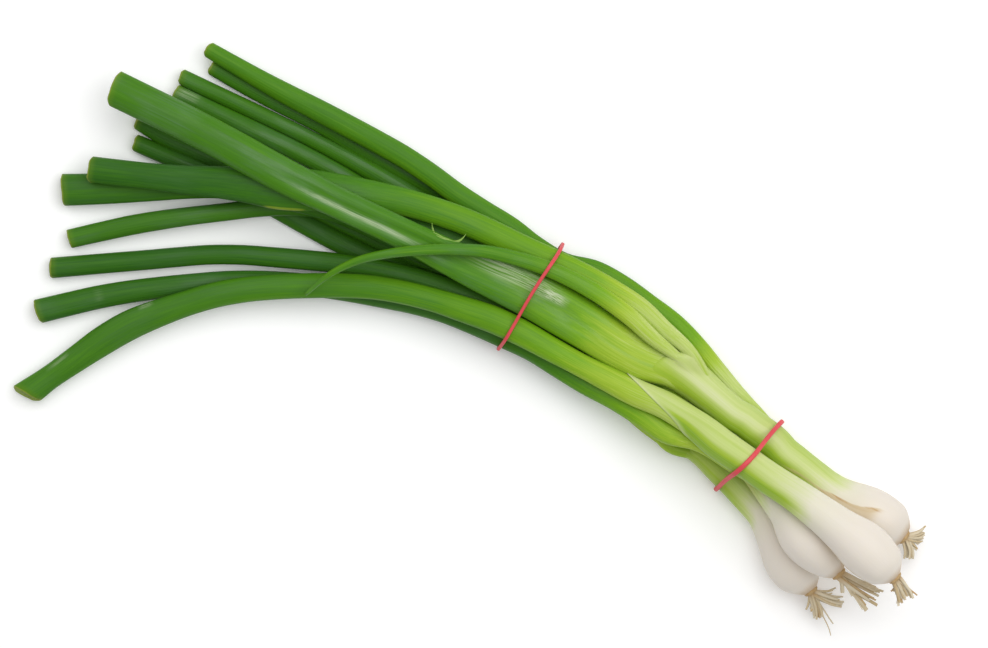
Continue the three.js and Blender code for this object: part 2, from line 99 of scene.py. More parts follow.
# %% [markdown]
# ## Reading a spine from a solid
# Every leaf and stem is a tube, and its solid is a row of rings of points. A merged copy of the mesh
# lets us walk along its edges from the end cap nearest the roots, and each step reaches the next
# ring. The middle, direction, half width and half thickness of each ring are all that a finer tube
# needs, so no place is written down twice.

# %% Rings of a tube-shaped solid
MERGE = 0.002 * MM  # points nearer to each other than this are one point
HUB_FACES = 9  # more faces than this meet only at the middle of an end cap
SAME_WAY = 0.8  # the least cosine between the normals of one flat cap


def merged(node):
    """A copy of a node's mesh whose faces share their points."""
    mesh = bmesh.new()
    mesh.from_mesh(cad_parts[node].data)
    bmesh.ops.remove_doubles(mesh, verts=mesh.verts, dist=MERGE)
    return mesh


def rings_of(node):
    """The rings of points along a tube-shaped solid, from the roots outwards."""
    mesh = merged(node)
    mesh.normal_update()
    hub = max((v for v in mesh.verts if len(v.link_faces) > HUB_FACES), key=lambda v: v.co.x)
    outward = sum((f.normal for f in hub.link_faces), hub.normal * 0).normalized()
    ring = {v for f in hub.link_faces if f.normal.dot(outward) > SAME_WAY for v in f.verts}
    seen, rings = set(), []
    while ring:
        rings.append(np.array([v.co for v in sorted(ring, key=lambda v: v.index)]))
        seen |= ring
        ring = {e.other_vert(v) for v in ring for e in v.link_edges} - seen
    mesh.free()
    middles = [ring.mean(0) for ring in rings]
    if np.linalg.norm(middles[-2] - middles[-3]) < 1 * MM:  # an open end turns back inside
        rings = rings[:-2]
    return rings


# %% Smooth curves
def eased(stops, values, at):
    """Reads a curve that passes smoothly through the values at the stops."""
    stops, values, at = (np.asarray(x, float) for x in (stops, values, at))
    slopes = np.gradient(values, stops, axis=0)
    i = np.clip(np.searchsorted(stops, at, side="right") - 1, 0, len(stops) - 2)
    gap = stops[i + 1] - stops[i]
    t = np.clip((at - stops[i]) / gap, 0, 1)
    if values.ndim > 1:
        gap, t = gap[..., None], t[..., None]
    return ((2 * t**3 - 3 * t**2 + 1) * values[i] + (t**3 - 2 * t**2 + t) * gap * slopes[i]
            + (3 * t**2 - 2 * t**3) * values[i + 1] + (t**3 - t**2) * gap * slopes[i + 1])


def read_off(stops, x):
    """The same for stops and values written as pairs."""
    return eased(*np.array(stops, float).T, x)


def unit(vectors):
    return vectors / np.linalg.norm(vectors, axis=-1, keepdims=True)


def rise(x, start, end):
    """Goes smoothly from 0 at start to 1 at end."""
    t = np.clip((np.asarray(x, float) - start) / (end - start), 0, 1)
    return t * t * (3 - 2 * t)


def fall(x, start, end):
    """Goes smoothly from 1 at start to 0 at end."""
    return 1 - rise(x, start, end)


def waves(angle, s, phase, *terms):
    """A sum of low waves round a tube: each has a height, a number of waves round the tube and
    the millimetres along it for one radian of twist."""
    return sum(height * np.sin(number * angle + phase[i] + s / (along * MM))
               for i, (height, number, along) in enumerate(terms))


# %% Spines
class Spine:
    """The line along a tube, with the half width and half thickness of its sections."""

    def __init__(self, middles, half_width, half_thick):
        self.middles, self.half_width, self.half_thick = middles, half_width, half_thick
        steps = np.linalg.norm(np.diff(middles, axis=0), axis=1)
        self.stops = np.concatenate([[0], np.cumsum(steps)])
        self.length = self.stops[-1]

    def at(self, distance):
        """Middles, directions and sizes at one distance, a row or a grid of them, and past the
        ends too."""
        near = np.clip(distance, 0, self.length)
        middle = eased(self.stops, self.middles, near)
        ahead = eased(self.stops, self.middles, np.clip(near + 0.5 * MM, 0, self.length))
        behind = eased(self.stops, self.middles, np.clip(near - 0.5 * MM, 0, self.length))
        along = unit(ahead - behind)
        across = unit(np.cross(along, UP))
        middle = middle + along * (distance - near)[..., None]
        return dict(middle=middle, along=along, across=across, upward=np.cross(across, along),
                    half_width=eased(self.stops, self.half_width, near),
                    half_thick=eased(self.stops, self.half_thick, near))


def placed(line, side, up):
    """Points to the side of a line and above it."""
    return line["middle"] + line["across"] * side[..., None] + line["upward"] * up[..., None]


def spine_of(node):
    """The spine of a tube-shaped solid, with the sizes of its rings."""
    rings = rings_of(node)
    middles = np.array([ring.mean(0) for ring in rings])
    along = unit(np.gradient(middles, axis=0))
    across = unit(np.cross(along, UP))
    upward = np.cross(across, along)
    def half(way):  # an even ring round an oval has a mean square of half the half size squared
        return np.array([math.sqrt(2 * np.mean(((ring - m) @ w) ** 2))
                         for ring, m, w in zip(rings, middles, way)])
    return Spine(middles, half(across), half(upward))


STEMS = {key: spine_of(f"onion_{key}_bulb_and_stem") for key in "abcd"}
# Leaf 3 of onion d is called d3 from here on.
LEAVES = {node[6] + node[-1]: node for node in sorted(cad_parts) if "_leaf_" in node}
LEAF_SPINES = {key: spine_of(node) for key, node in LEAVES.items()}
for key, spine in LEAF_SPINES.items():
    print("leaf", key, "is", round(spine.length / MM), "mm long and up to",
          round(2 * spine.half_width.max() / MM, 1), "mm wide")

# %% [markdown]
# ## Tubes with a memory of how they grew
# A leaf's fibres, ribs and colour follow the leaf, not the world. So each point of a tube carries
# facts that its material can read: where it would be if the tube were straight (`grain`, in
# millimetres), how far it is from the base and from the tip and whether it is on the inside
# (`growth`), and how green it is (`green`, from 0 at the white bulb to 1 at the deep green tip).
# Stems add how dry their skin is, together with a warm tint painted as shade in the creases near
# the foot of each bulb (`skin`), leaves how frosted, scuffed and yellow they are,
# with pale streaks that are partly painted highlight (`wear`).

# %% Turn rings of points into a closed mesh
def remember(mesh, fact, values, kind):
    """Writes a fact to every point of a mesh."""
    layer = mesh.attributes.new(fact, kind, "POINT")
    layer.data.foreach_set("vector" if kind == "FLOAT_VECTOR" else "value", values.ravel())


def finished(name, mesh, material):
    """Turns every face outwards, shades it smooth and links the piece at the origin."""
    work = bmesh.new()
    work.from_mesh(mesh)
    if work.calc_volume(signed=True) < 0:
        bmesh.ops.reverse_faces(work, faces=work.faces)
    work.to_mesh(mesh)
    work.free()
    mesh.shade_smooth()
    mesh.materials.append(material)
    return linked(name, mesh)


def tube(name, rings, facts, material, looped=False):
    """Skins rings of points, shape (rows, sides, 3). The last ring of a looped tube meets the
    first. Any other tube is closed by a fan of triangles round a pole at each end. A fact is one
    number for each point, or three. It may be a single value, one for each row, or a full grid."""
    rows, sides = rings.shape[:2]
    here = np.arange(rows * sides).reshape(rows, sides)
    beside = np.roll(here, -1, axis=1)
    quads = np.stack([here, beside, np.roll(beside, -1, 0), np.roll(here, -1, 0)], -1)
    faces = quads[:rows if looped else -1].reshape(-1, 4).tolist()
    if not looped:
        first_pole, last_pole = rows * sides, rows * sides + 1
        faces += [(first_pole, b, a) for a, b in zip(here[0].tolist(), beside[0].tolist())]
        faces += [(last_pole, a, b) for a, b in zip(here[-1].tolist(), beside[-1].tolist())]

    def listed(values):
        """One row for each point of the rings, then one for each pole."""
        values = values.reshape(rows, sides, -1)
        poles = [] if looped else [values[0].mean(0), values[-1].mean(0)]
        return np.array([*values.reshape(rows * sides, -1), *poles])

    mesh = mesh_of(name, listed(rings), faces)
    for fact, values in facts.items():
        several = isinstance(values, tuple)
        grids = [np.broadcast_to(v, (rows, sides)) for v in (values if several else [values])]
        values = listed(np.stack(grids, -1)).astype(np.float32)
        remember(mesh, fact, values, "FLOAT_VECTOR" if several else "FLOAT")
    return finished(name, mesh, material)


# %% Hand a piece to the frame
def stands_for(piece, node):
    """Says which body a piece moves with and hides the solid it replaces."""
    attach(piece, "root")
    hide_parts(node)
    print(piece.name, len(piece.data.polygons), "faces")


# %% [markdown]
# ## Writing node trees as sums
# A material is a small calculation at every point. The class below wraps one output of a node, so
# that `1 - mask` or `ribs * 0.5 + streaks` adds the Math nodes that work it out. The roots use it
# too, further down, for their Geometry Nodes.

# %% A socket that can be added, subtracted and multiplied
class Value:
    def __init__(self, nodes, socket):
        self.nodes, self.socket = nodes, socket

    def math(self, operation, *terms):
        return self.nodes.node("ShaderNodeMath", {"operation": operation}, dict(enumerate(terms)))

    def ramp(self, start, end):
        """0 below start, 1 above end and a smooth step between them."""
        return self.nodes.node(
            "ShaderNodeMapRange", {"interpolation_type": "SMOOTHSTEP"},
            {"Value": self, "From Min": start, "From Max": end})


for sign, operation in {"add": "ADD", "sub": "SUBTRACT", "mul": "MULTIPLY"}.items():
    # value + 1 calls __add__, and 1 + value calls __radd__
    setattr(Value, f"__{sign}__", lambda self, other, op=operation: self.math(op, self, other))
    setattr(Value, f"__r{sign}__", lambda self, other, op=operation: self.math(op, other, self))


# %% Adding nodes to a tree
class Nodes:
    def __init__(self, tree):
        self.tree = tree

    def node(self, kind, settings=None, sockets=None, output=0):
        """Adds a node: its settings first, then the values or links of its sockets."""
        made = self.tree.nodes.new(kind)
        for key, value in (settings or {}).items():
            setattr(made, key, value)
        self.fill(made, sockets or {})
        return Value(self, made.outputs[output])

    def fill(self, node, sockets):
        for key, value in sockets.items():
            if isinstance(value, Value):
                self.tree.links.new(value.socket, node.inputs[key])
            else:
                node.inputs[key].default_value = value


# %% A material
class Shader(Nodes):
    def __init__(self, name):
        self.material = bpy.data.materials.new(name)
        self.material.use_nodes = True
        super().__init__(self.material.node_tree)
        self.surface = next(n for n in self.tree.nodes if n.type == "BSDF_PRINCIPLED")

    def fact(self, name, output="Vector"):
        return self.node("ShaderNodeAttribute", {"attribute_name": name}, output=output)

    def parts(self, vector):
        """The three numbers of a vector."""
        first = self.node("ShaderNodeSeparateXYZ", None, {0: vector})
        return [Value(self, out) for out in first.socket.node.outputs]

    def noise(self, vector, scale, detail=2.0, roughness=0.5):
        """Cloudy noise that averages about 0.5."""
        return self.node("ShaderNodeTexNoise", None, {
            "Vector": vector, "Scale": scale, "Detail": detail, "Roughness": roughness})

    def streaks(self, grain, squeeze, *args):
        """The same noise, drawn out along the grain: the less squeeze, the longer the streaks."""
        drawn_out = self.node("ShaderNodeVectorMath", {"operation": "MULTIPLY"},
                              {0: grain, 1: (1, 1, squeeze)})
        return self.noise(drawn_out, *args)

    def scale_of(self, stops, place):
        """The colour at a place on a scale of (place, colour) stops."""
        made = self.node("ShaderNodeValToRGB", None, {"Fac": place})
        elements = made.socket.node.color_ramp.elements
        while len(elements) < len(stops):
            elements.new(1)
        for element, (position, colour) in zip(elements, stops):
            element.position = position
            element.color = (*colour, 1)
        return made

    def mix(self, factor, first, second):
        """From the first colour at factor 0 to the second at factor 1."""
        first, second = (c if isinstance(c, Value) else (*c, 1) for c in (first, second))
        return self.node("ShaderNodeMix", {"data_type": "RGBA"}, {0: factor, 6: first, 7: second},
                         output=2)

    def tinted(self, colour, *tints):
        """Lays (amount, colour) tints over a colour, one after the other."""
        for amount, tint in tints:
            colour = self.mix(amount, colour, tint)
        return colour

    def bump(self, height, strength, distance):
        return self.node("ShaderNodeBump", None, {
            "Height": height, "Strength": strength, "Distance": distance})

    def finish(self, **sockets):
        """Sets sockets of the surface, with `Base_Color` for the socket Base Color."""
        self.fill(self.surface, {key.replace("_", " "): v for key, v in sockets.items()})
        return self.material


# %% [markdown]
# ## One scale of colour from bulb to tip
# A spring onion is white where it grew in the soil, turns pale and yellowish at the stem, then a
# fresh green, and ends in a deep green with a faint grey bloom of wax. One ramp holds that scale for
# every stem and leaf, and each piece says where on it each of its points lies. Fine fibres run along
# the leaf, so the noise that varies the colour is stretched along the grain.

# %% The colour scale
GREENS = [
    (0.00, (0.75, 0.69, 0.61)),
    (0.16, (0.72, 0.69, 0.55)),
    (0.30, (0.55, 0.63, 0.24)),
    (0.44, (0.35, 0.50, 0.035)),
    (0.58, (0.165, 0.36, 0.006)),
    (0.78, (0.062, 0.21, 0.004)),
    (1.00, (0.020, 0.105, 0.004)),
]


def wax(shader, sharpness):
    """Streaks along the grain: a fine set for fibres and a broad set for bands of colour."""
    grain = shader.fact("grain")
    fine = shader.streaks(grain, 0.02, sharpness, 3, 0.6)
    broad = shader.streaks(grain, 0.05, 0.45, 2, 0.5)
    cloud = shader.streaks(grain, 0.3, 0.16, 2, 0.5)
    return grain, fine, broad, cloud


# %% The skin of leaves
def leaf_material():
    shader = Shader("onion_leaf_green")
    grain, fine, broad, cloud = wax(shader, 1.7)
    green = shader.fact("green", "Fac")
    _, to_tip, inside = shader.parts(shader.fact("growth"))
    frost, scuffs_and_highlight, yellow = shader.parts(shader.fact("wear"))
    lines = shader.streaks(grain, 0.012, 4.5, 2, 0.55)
    tone = green + (fine - 0.5) * 0.14 + (broad - 0.5) * 0.16
    tone = tone + (cloud - 0.5) * 0.12 - (lines - 0.5) * 0.18
    outer = shader.scale_of(GREENS, tone)
    bloom = (cloud + (fine - 0.5)).ramp(0.4, 0.9) * green.ramp(0.5, 0.85) * (0.08 + frost * 0.4)
    outer = shader.mix(bloom, outer, (0.11, 0.245, 0.085))
    inner = shader.mix(fine, (0.30, 0.42, 0.10), (0.46, 0.56, 0.22))
    # pale streaks: partly real scuffs, partly a painted highlight where the creased skin would catch
    # the light
    scratches_and_highlight = scuffs_and_highlight * (lines + cloud * 0.4).ramp(0.52, 0.80)
    yellowed = (yellow * (0.6 + broad)).ramp(0.15, 0.75) * 0.8
    drying, rim = 1 - to_tip.ramp(0.2, 3.0), 1 - to_tip.ramp(0.12, 0.5)
    colour = shader.tinted(outer, (inside, inner), (scratches_and_highlight, (0.58, 0.66, 0.44)),
                           (yellowed, (0.30, 0.42, 0.03)), (drying * 0.22, (0.22, 0.33, 0.02)),
                           (rim * 0.6, (0.30, 0.34, 0.05)))
    fibres = shader.streaks(grain, 0.006, 2.6, 2, 0.5)
    normal = shader.bump(fibres + fine * 0.5 + lines * 0.5, 0.35, 0.25 * MM)
    shine = 0.37 + fine * 0.16 + cloud * 0.08 - scuffs_and_highlight * 0.08
    glaze = (broad + cloud - fine * 0.3).ramp(0.75, 1.05) * frost * 0.45
    return shader.finish(Base_Color=colour, Roughness=shine, Normal=normal, Coat_Weight=glaze,
                         Coat_Roughness=0.25, Specular_IOR_Level=0.2)


# %% The skin of bulbs and stems
def stem_material():
    shader = Shader("onion_stem_white")
    grain, fine, broad, cloud = wax(shader, 1.3)
    green, skin = shader.fact("green", "Fac"), shader.fact("skin", "Fac")
    from_base, to_tip, inside = shader.parts(shader.fact("growth"))
    tone = green + ((fine - 0.5) * 0.12 + (broad - 0.5) * 0.14) * green.ramp(0.05, 0.3)
    lines = shader.streaks(grain, 0.07, 0.9, 4, 0.65)
    # dry skin, and also the warm tan painted as shade in the creases near the bulbs' feet
    dry_and_crease_tint = (skin + (cloud - 0.5) * 0.5 * skin).ramp(0.05, 0.85)
    peach = shader.mix(fine, (0.64, 0.52, 0.33), (0.55, 0.40, 0.20))
    plate = 1 - from_base.ramp(0.0, 2.6 + fine * 1.5)
    edge = 1 - to_tip.ramp(0.2, 2.5 + broad * 8)
    colour = shader.tinted(
        shader.scale_of(GREENS, tone), (fine.ramp(0.52, 0.75) * 0.2, (0.72, 0.69, 0.52)),
        (dry_and_crease_tint * 0.8, peach), (dry_and_crease_tint * lines.ramp(0.54, 0.68) * 0.6, (0.44, 0.24, 0.07)),
        (plate * (0.3 + fine * 0.6), (0.46, 0.29, 0.12)), (edge * 0.6, (0.62, 0.68, 0.36)),
        (inside, (0.34, 0.42, 0.10)))
    fibres = shader.streaks(grain, 0.006, 1.9, 2, 0.5)
    normal = shader.bump(fibres + fine * 0.4 + dry_and_crease_tint * (1.5 + lines), 0.22, 0.2 * MM)
    return shader.finish(Base_Color=colour, Roughness=0.34 + fine * 0.14 + dry_and_crease_tint * 0.15, Normal=normal,
                         Specular_IOR_Level=0.3, Subsurface_Weight=0.12,
                         Subsurface_Radius=(0.9 * MM, 0.8 * MM, 0.5 * MM), Subsurface_Scale=1.0)


LEAF = leaf_material()
STEM = stem_material()
print("leaf material", len(LEAF.node_tree.nodes), "nodes, stem", len(STEM.node_tree.nodes))

# %% [markdown]
# ## Leaves tucked into their stems
# A leaf doesn't start at the mouth of its stem: it grows from the root plate, wrapped in the older
# ones. So each leaf's line is led on into the stem, some way down, before any surface is made. The
# stem can then be shaped round the leaves that it holds.

# %% How far a stem or a leaf leans
# Each leans to lie closer to its neighbours: (mm from the mouth, mm sideways, mm wider). Stem d is
# measured from its roots. LIFTS has the same for two leaves as (mm from the mouth, mm up).
LEANS = {
    "d": [(48, 0, 0), (60, -0.9, -0.4), (70, 0, 0), (84, 0, 0), (90, -0.6, 0.5), (96, -1.1, 1),
          (104, -2.2, 2.1)],
    "a1": [(-18, 2.4, 0), (-6, 2.6, 0), (2, 3.4, 0), (9, 4.2, 0), (15, 4.2, 0), (30, 2.8, 0),
           (45, 1.2, 0), (60, 0, 0)],
    "a2": [(100, 0, 0), (125, 2, 0), (140, 3.2, 0), (150, 3.5, 0), (160, 3, 0), (170, 2.2, 0),
           (182, 1.3, 0), (200, 1.1, 0)],
    "a3": [(70, 0, 0), (95, -0.5, 0.5), (140, -0.6, 0.6), (200, -0.7, 0.7), (218, -0.7, 0.6),
           (223, 0, 0)],
    "a4": [(0, 0, 0), (8, 1, 0), (17, 2.2, 0), (27, 1.8, 0), (38, 0.6, 0), (50, 0, 0), (70, 0, 0),
           (95, 0.4, 0.6), (150, 0.3, 0.5), (200, 0.2, 0.2)],
    "b2": [(120, 0, 0), (145, 0.3, 0.5), (165, 0.3, 0.5), (180, 0, 0)],
    "b3": [(140, 0, 0), (165, -0.4, 0.6), (205, -0.4, 0.6), (235, 0, 0.2)],
    "c1": [(4, 0, 0), (24, -0.9, -0.7), (36, -1.2, -1.1), (46, -0.9, -0.8), (65, 0, 0), (186, 0, 0),
           (200, 0.7, 0.7), (212, 1, 1), (225, 0.4, 0.4), (240, 0, 0)],
    "c2": [(-32, -1, 2), (0, -1.6, 1.8), (16, -1, 1), (36, -0.2, 0.2), (55, 0, 0)],
    "d1": [(75, 0, 0), (90, -1, 0), (100, -1.2, 0), (110, -1.7, 0), (120, -2.1, 0), (130, -1.4, 0),
           (140, -0.7, 0), (155, 0, 0), (205, 0, 0), (225, 0.2, -0.35), (243, 0.35, -0.55)],
    "d2": [(120, 0, 0), (145, -0.5, 0.5), (175, -0.4, 0.5), (192, 0, 0), (225, 0, 0.2)],
    "d3": [(-32, -0.4, 0.4), (-12, -1.3, 1.3), (0, -2.4, 2.4), (6, -1.9, 1.9), (14, -1, 1),
           (30, -1.2, 1.2), (42, -0.9, 0.9), (62, 0, 0)],
    "d4": [(115, 0, 0), (135, -1.1, 1.1), (150, -2.7, 2.7), (163, -2.8, 2.8), (172, -1.9, 1.9),
           (185, -1, 1), (208, 0, 0)],
}
LIFTS = {
    "a2": [(100, 0), (125, -0.3), (140, -0.3), (150, 0)],
    "c2": [(-32, 3), (0, 3), (16, 2), (36, 0.5), (55, 0)],
}


def leaning(key, spine, start=0):
    """Leans a spine. The tables count from start, in metres along the spine."""
    if key not in LEANS:
        return spine

    def read(table):
        """The columns of a table, in metres, at the stops of the spine."""
        place, *columns = np.array(table, float).T
        return [np.interp((spine.stops - start) / MM, place, column) * MM for column in columns]

    side, wider = read(LEANS[key])
    up = read(LIFTS.get(key, [(0, 0)]))[0]
    line = spine.at(spine.stops)
    middles = spine.middles + line["across"] * side[:, None] + line["upward"] * up[:, None]
    return Spine(middles, spine.half_width + wider, spine.half_thick + 0.5 * wider)


STEMS["d"] = leaning("d", STEMS["d"])
print(len(LEANS), "spines lean")

# %% A leaf's spine, led into its stem
TUCK = 26 * MM  # how far a leaf starts inside the mouth of its stem
LONG_TUCK = 32 * MM  # the same for a leaf that parts from the side of its stem
DEPTHS = np.array([1.0, 0.5])  # the two added points, as shares of that length


def tucked(key):
    """A leaf's spine led into its stem, the length led in, and whether it parts from the side."""
    spine, stem = LEAF_SPINES[key], STEMS[key[0]]
    gaps = np.linalg.norm(stem.middles - spine.middles[0], axis=1)
    beside = gaps.argmin() < len(gaps) - 2
    # the two added points: how far down they lie, how much of the leaf's distance from the
    # middle of its stem they keep, and how much broader than its first ring they are
    if beside:
        depths, aside, broader = LONG_TUCK * DEPTHS, [[0.2], [0.5]], [1.5, 1.4]
    else:
        depths, aside, broader = TUCK * DEPTHS, [[0.0], [0.4]], [1.0, 1.0]
    near = stem.stops[gaps.argmin()]
    offset = spine.middles[0] - stem.at(near)["middle"]
    inside = stem.at(near - depths)["middle"] + offset * np.array(aside)
    lead = Spine(np.vstack([inside, spine.middles]),
                 np.append(spine.half_width[0] * np.array(broader), spine.half_width),
                 np.append(spine.half_thick[0] * np.array(broader), spine.half_thick))
    return leaning(key, lead, lead.stops[2]), lead.stops[2], beside


TUCKED = {key: tucked(key) for key in LEAVES}
print(sum(beside for _, _, beside in TUCKED.values()), "leaves part from the side of their stem")

# %% [markdown]
# ## Bulbs and stems
# A bulb and its stem are leaf bases wrapped round each other, so the surface is one smooth skin from
# the root plate to the mouth. Near the mouth it closes round the leaves it holds, like cling film
# round a few pencils: the skin there is the tight loop round their sections, drawn in a little
# between them. The mouth is the thin edge of the outer wrap. It is cut at a slant, and turns back
# down the inside, where it closes out of sight.

# %% What each stem looks like
# The mouth is cut at a slant: `slant` millimetres longer on the side at the angle `turn`, and
# `ahead` longer all round. `drawn` is how much of its own thickness the stem keeps round its leaves,
# and a `flush` stem runs smoothly into them. Places on the colour scale are read along the stem, in
# millimetres from the roots: `facing` over most of the skin, and `sides` where it faces an angle
# (the angle, degrees of full colour, degrees where it ends).
# Part of the colour round each stem is painted light. The paler top, read from `facing`, is partly the
# stem's own colour and partly a painted highlight. The deeper green of the sides at 188 to 205 degrees,
# which face the lower left away from the light above, is partly the stem's own colour and partly
# painted shade.
STEM_LOOKS = {
    "a": dict(
        slant=1.5, turn=200, drawn=0.85, flush=True,
        facing=[(0, 0), (26, 0.03), (36, 0.18), (46, 0.36), (60, 0.42), (76, 0.45)],
        sides=[(205, 40, 100, [(0, 0), (24, 0.04), (33, 0.28), (42, 0.44), (60, 0.49), (76, 0.5)])]),
    "b": dict(
        slant=1.5, turn=90, drawn=0.85, flush=True,
        facing=[(0, 0), (28, 0.02), (38, 0.12), (47, 0.32), (60, 0.42)],
        sides=[(190, 40, 100, [(0, 0), (24, 0.04), (36, 0.26), (44, 0.44), (60, 0.48)])]),
    "c": dict(
        slant=15.5, ahead=2.5, turn=20, drawn=0.5, flush=False,
        facing=[(0, 0), (24, 0.02), (34, 0.1), (44, 0.22), (54, 0.29), (64, 0.33), (84, 0.35),
                (104, 0.36), (118, 0.33)],
        sides=[(188, 55, 98, [(0, 0), (28, 0.03), (38, 0.22), (47, 0.44), (56, 0.5), (80, 0.52),
                              (104, 0.5)])]),
    "d": dict(
        slant=5, ahead=8.7, turn=150, drawn=0.95, flush=True,
        facing=[(0, 0), (18, 0.03), (27, 0.14), (36, 0.24), (44, 0.3), (56, 0.3), (76, 0.28),
                (92, 0.28), (102, 0.32), (112, 0.42)],
        sides=[(-10, 42, 88, [(0, 0), (20, 0.05), (28, 0.24), (36, 0.35), (46, 0.39), (66, 0.39),
                              (84, 0.36), (104, 0.38)]),
               (188, 60, 100, [(0, 0), (22, 0.03), (32, 0.22), (42, 0.42), (52, 0.48),
                               (72, 0.46), (100, 0.44), (112, 0.46)])]),
}
STEM_SIDES = 96
STEM_STEP = 1.3 * MM
SLANT_REACH = 42 * MM  # the length of stem over which the rings lean into the slant
WRAP_REACH = 24 * MM  # the length over which the stem closes round its leaves
SHEATH = 0.12 * MM  # thickness of the outer wrap at its edge
SHEATH_DEPTH = 20 * MM  # how far the wrap turns back down the inside
SHEATH_LIFT = 0.05 * MM  # how far it stands off its leaves
FLUSH = 0.7 * MM  # how far inside its leaves the mouth of a flush stem lies
SINKING = 10 * MM  # the length over which it sinks into them
SUNK = 0.97  # how much of its own thickness a flush stem has given up at the mouth
SHUT = 0.95  # how far a flush mouth closes in
MOUTH = 4 * MM  # the last length of stem, closed round the leaves in full
TIGHT = 0.55  # how tight the skin is between the leaves: 1 for a straight film, 0 for their outline
ROUNDED = 2.2 * MM  # the length of the rounded end round the root plate
theta = circle(STEM_SIDES)


def facing(angle, spread, full=0, around=theta):
    """1 where the skin faces an angle, falling smoothly to 0 at the spread, all in degrees."""
    return rise(np.cos(around - math.radians(angle)), math.cos(math.radians(spread)),
                math.cos(math.radians(full)))


def stem_green(key, x, around):
    """The place of a stem's skin on the colour scale, x millimetres from the roots."""
    green = read_off(STEM_LOOKS[key]["facing"], x)
    # a side that faces the lower left, away from the light, is greener partly as painted shade
    for angle, full, spread, stops in STEM_LOOKS[key]["sides"]:
        green = green + (read_off(stops, x) - green) * facing(angle, spread, full, around)
    return green


# %% [markdown]
# ## Dry papery skin, and painted shade in the creases
# The outermost skin of a bulb dries to a brownish film that clings to it and tears along the
# growth. It could be a shell of its own, but it is far too thin and lies too close for that to
# show. So it is one more fact of each point, from 0 where the skin is fresh to 1 where it is dry,
# and the stem's material turns it into colour. Sine waves round the bulb make its edge ragged.
# The same fact also lays a warm tan on the lower flanks of the bulbs and in the creases between
# them: that part is painted shade, not dry skin.

# %% Where the skin is dry, and where shade is painted in the creases
# the edge of the dry skin on bulb d: (mm from the roots, degrees round)
D_SKIN_EDGE = [(4, 30), (8, 56), (13, 72), (18, 82), (24, 90), (30, 98), (36, 106), (44, 114),
               (60, 130)]


def papery_and_crease_tint(key, x):
    """How much dry outer skin is left, from 0 to 1, x millimetres from the roots, plus a warm tint
    painted as shade in the creases.
    """
    ragged = 3 * np.sin(4 * theta + 1) + 2 * np.sin(9 * theta + x / 5)
    # painted shade: a warm tan on the sides and underside of each bulb near its foot, where shade falls
    # between the bulbs
    under = 0.42 * fall(np.sin(theta), -0.2, 0.7) * fall(x, 24, 40)
    if key == "a":
        return under + (0.3 * facing(185, 75) * rise(x + 2 * ragged, 40, 56)) * fall(x, 62, 74)
    if key == "b":
        # painted shade: the same warm tan in the crease along b's upper-right side near its foot
        crease_shade_tint = 0.5 * facing(10, 65) * fall(x, 22, 36)
        return under + crease_shade_tint + 0.4 * facing(180, 100) * rise(x + ragged, 30, 44)
    if key == "c":
        return under + 0.5 * facing(200, 42) * fall(x, 20, 34)
    past = (np.degrees(theta) - read_off(D_SKIN_EDGE, x) + 1.2 * ragged + 20) % 360 - 20
    seam = rise(past, -3, 2) * fall(past, 3, 12)
    brown = rise(past, -3, 3) * fall(past, 20, 75) * rise(x, 9, 17) * fall(x, 30, 40)
    return under + (0.5 * seam * rise(x, 10, 15) + 0.6 * brown) * fall(x, 46, 60)


# %% The ovals of the leaves that one ring of a stem holds
def ovals_at(line, i, leaves, inset):
    """(x, y, half width, half thickness) of each leaf that crosses the plane of ring i."""
    found = []
    for spine in leaves:
        ahead = (spine["middle"] - line["middle"][i]) @ line["along"][i]
        k = int(np.argmax(ahead > 0))
        if ahead[0] > 0 or k == 0:
            continue
        t = -ahead[k - 1] / (ahead[k] - ahead[k - 1])
        at = {fact: spine[fact][k - 1] * (1 - t) + spine[fact][k] * t for fact in spine}
        offset = at["middle"] - line["middle"][i]
        found.append((offset @ line["across"][i], offset @ line["upward"][i],
                      at["half_width"] - inset, at["half_thick"] - inset))
    return np.array(found)[:, :, None] if found else None


def film_round(ovals):
    """How far a tight film round the ovals reaches from the middle in each direction."""
    x, y, a, b = ovals.transpose(1, 0, 2)
    reach = x * np.cos(theta) + y * np.sin(theta) + np.hypot(a * np.cos(theta), b * np.sin(theta))
    toward = np.cos(theta.T - theta)
    least = 0.05  # directions nearly square to the film don't count
    return np.where(toward > least, reach.max(0) / np.maximum(toward, least), 1).min(1)


def outline_round(ovals):
    """The same for the outline of the ovals themselves, 0 where there is none."""
    x, y, a, b = ovals.transpose(1, 0, 2)
    square = (np.cos(theta) / a) ** 2 + (np.sin(theta) / b) ** 2
    middle = x * np.cos(theta) / a**2 + y * np.sin(theta) / b**2
    inside = middle**2 - square * ((x / a) ** 2 + (y / b) ** 2 - 1)
    reach = (middle + np.sqrt(np.maximum(inside, 0))) / square
    return np.maximum(np.where(inside > 0, reach, 0), 0).max(0)


def smoothed(ring, rounds):
    """Evens out the values of a closed ring."""
    for _ in range(rounds):
        ring = (np.roll(ring, 1) + 2 * ring + np.roll(ring, -1)) / 4
    return ring


def larger(a, b, ease):
    """The larger of two values, rounded off over the given ease where they cross."""
    return (a + b + np.sqrt((a - b) ** 2 + ease**2)) / 2 - ease / 4


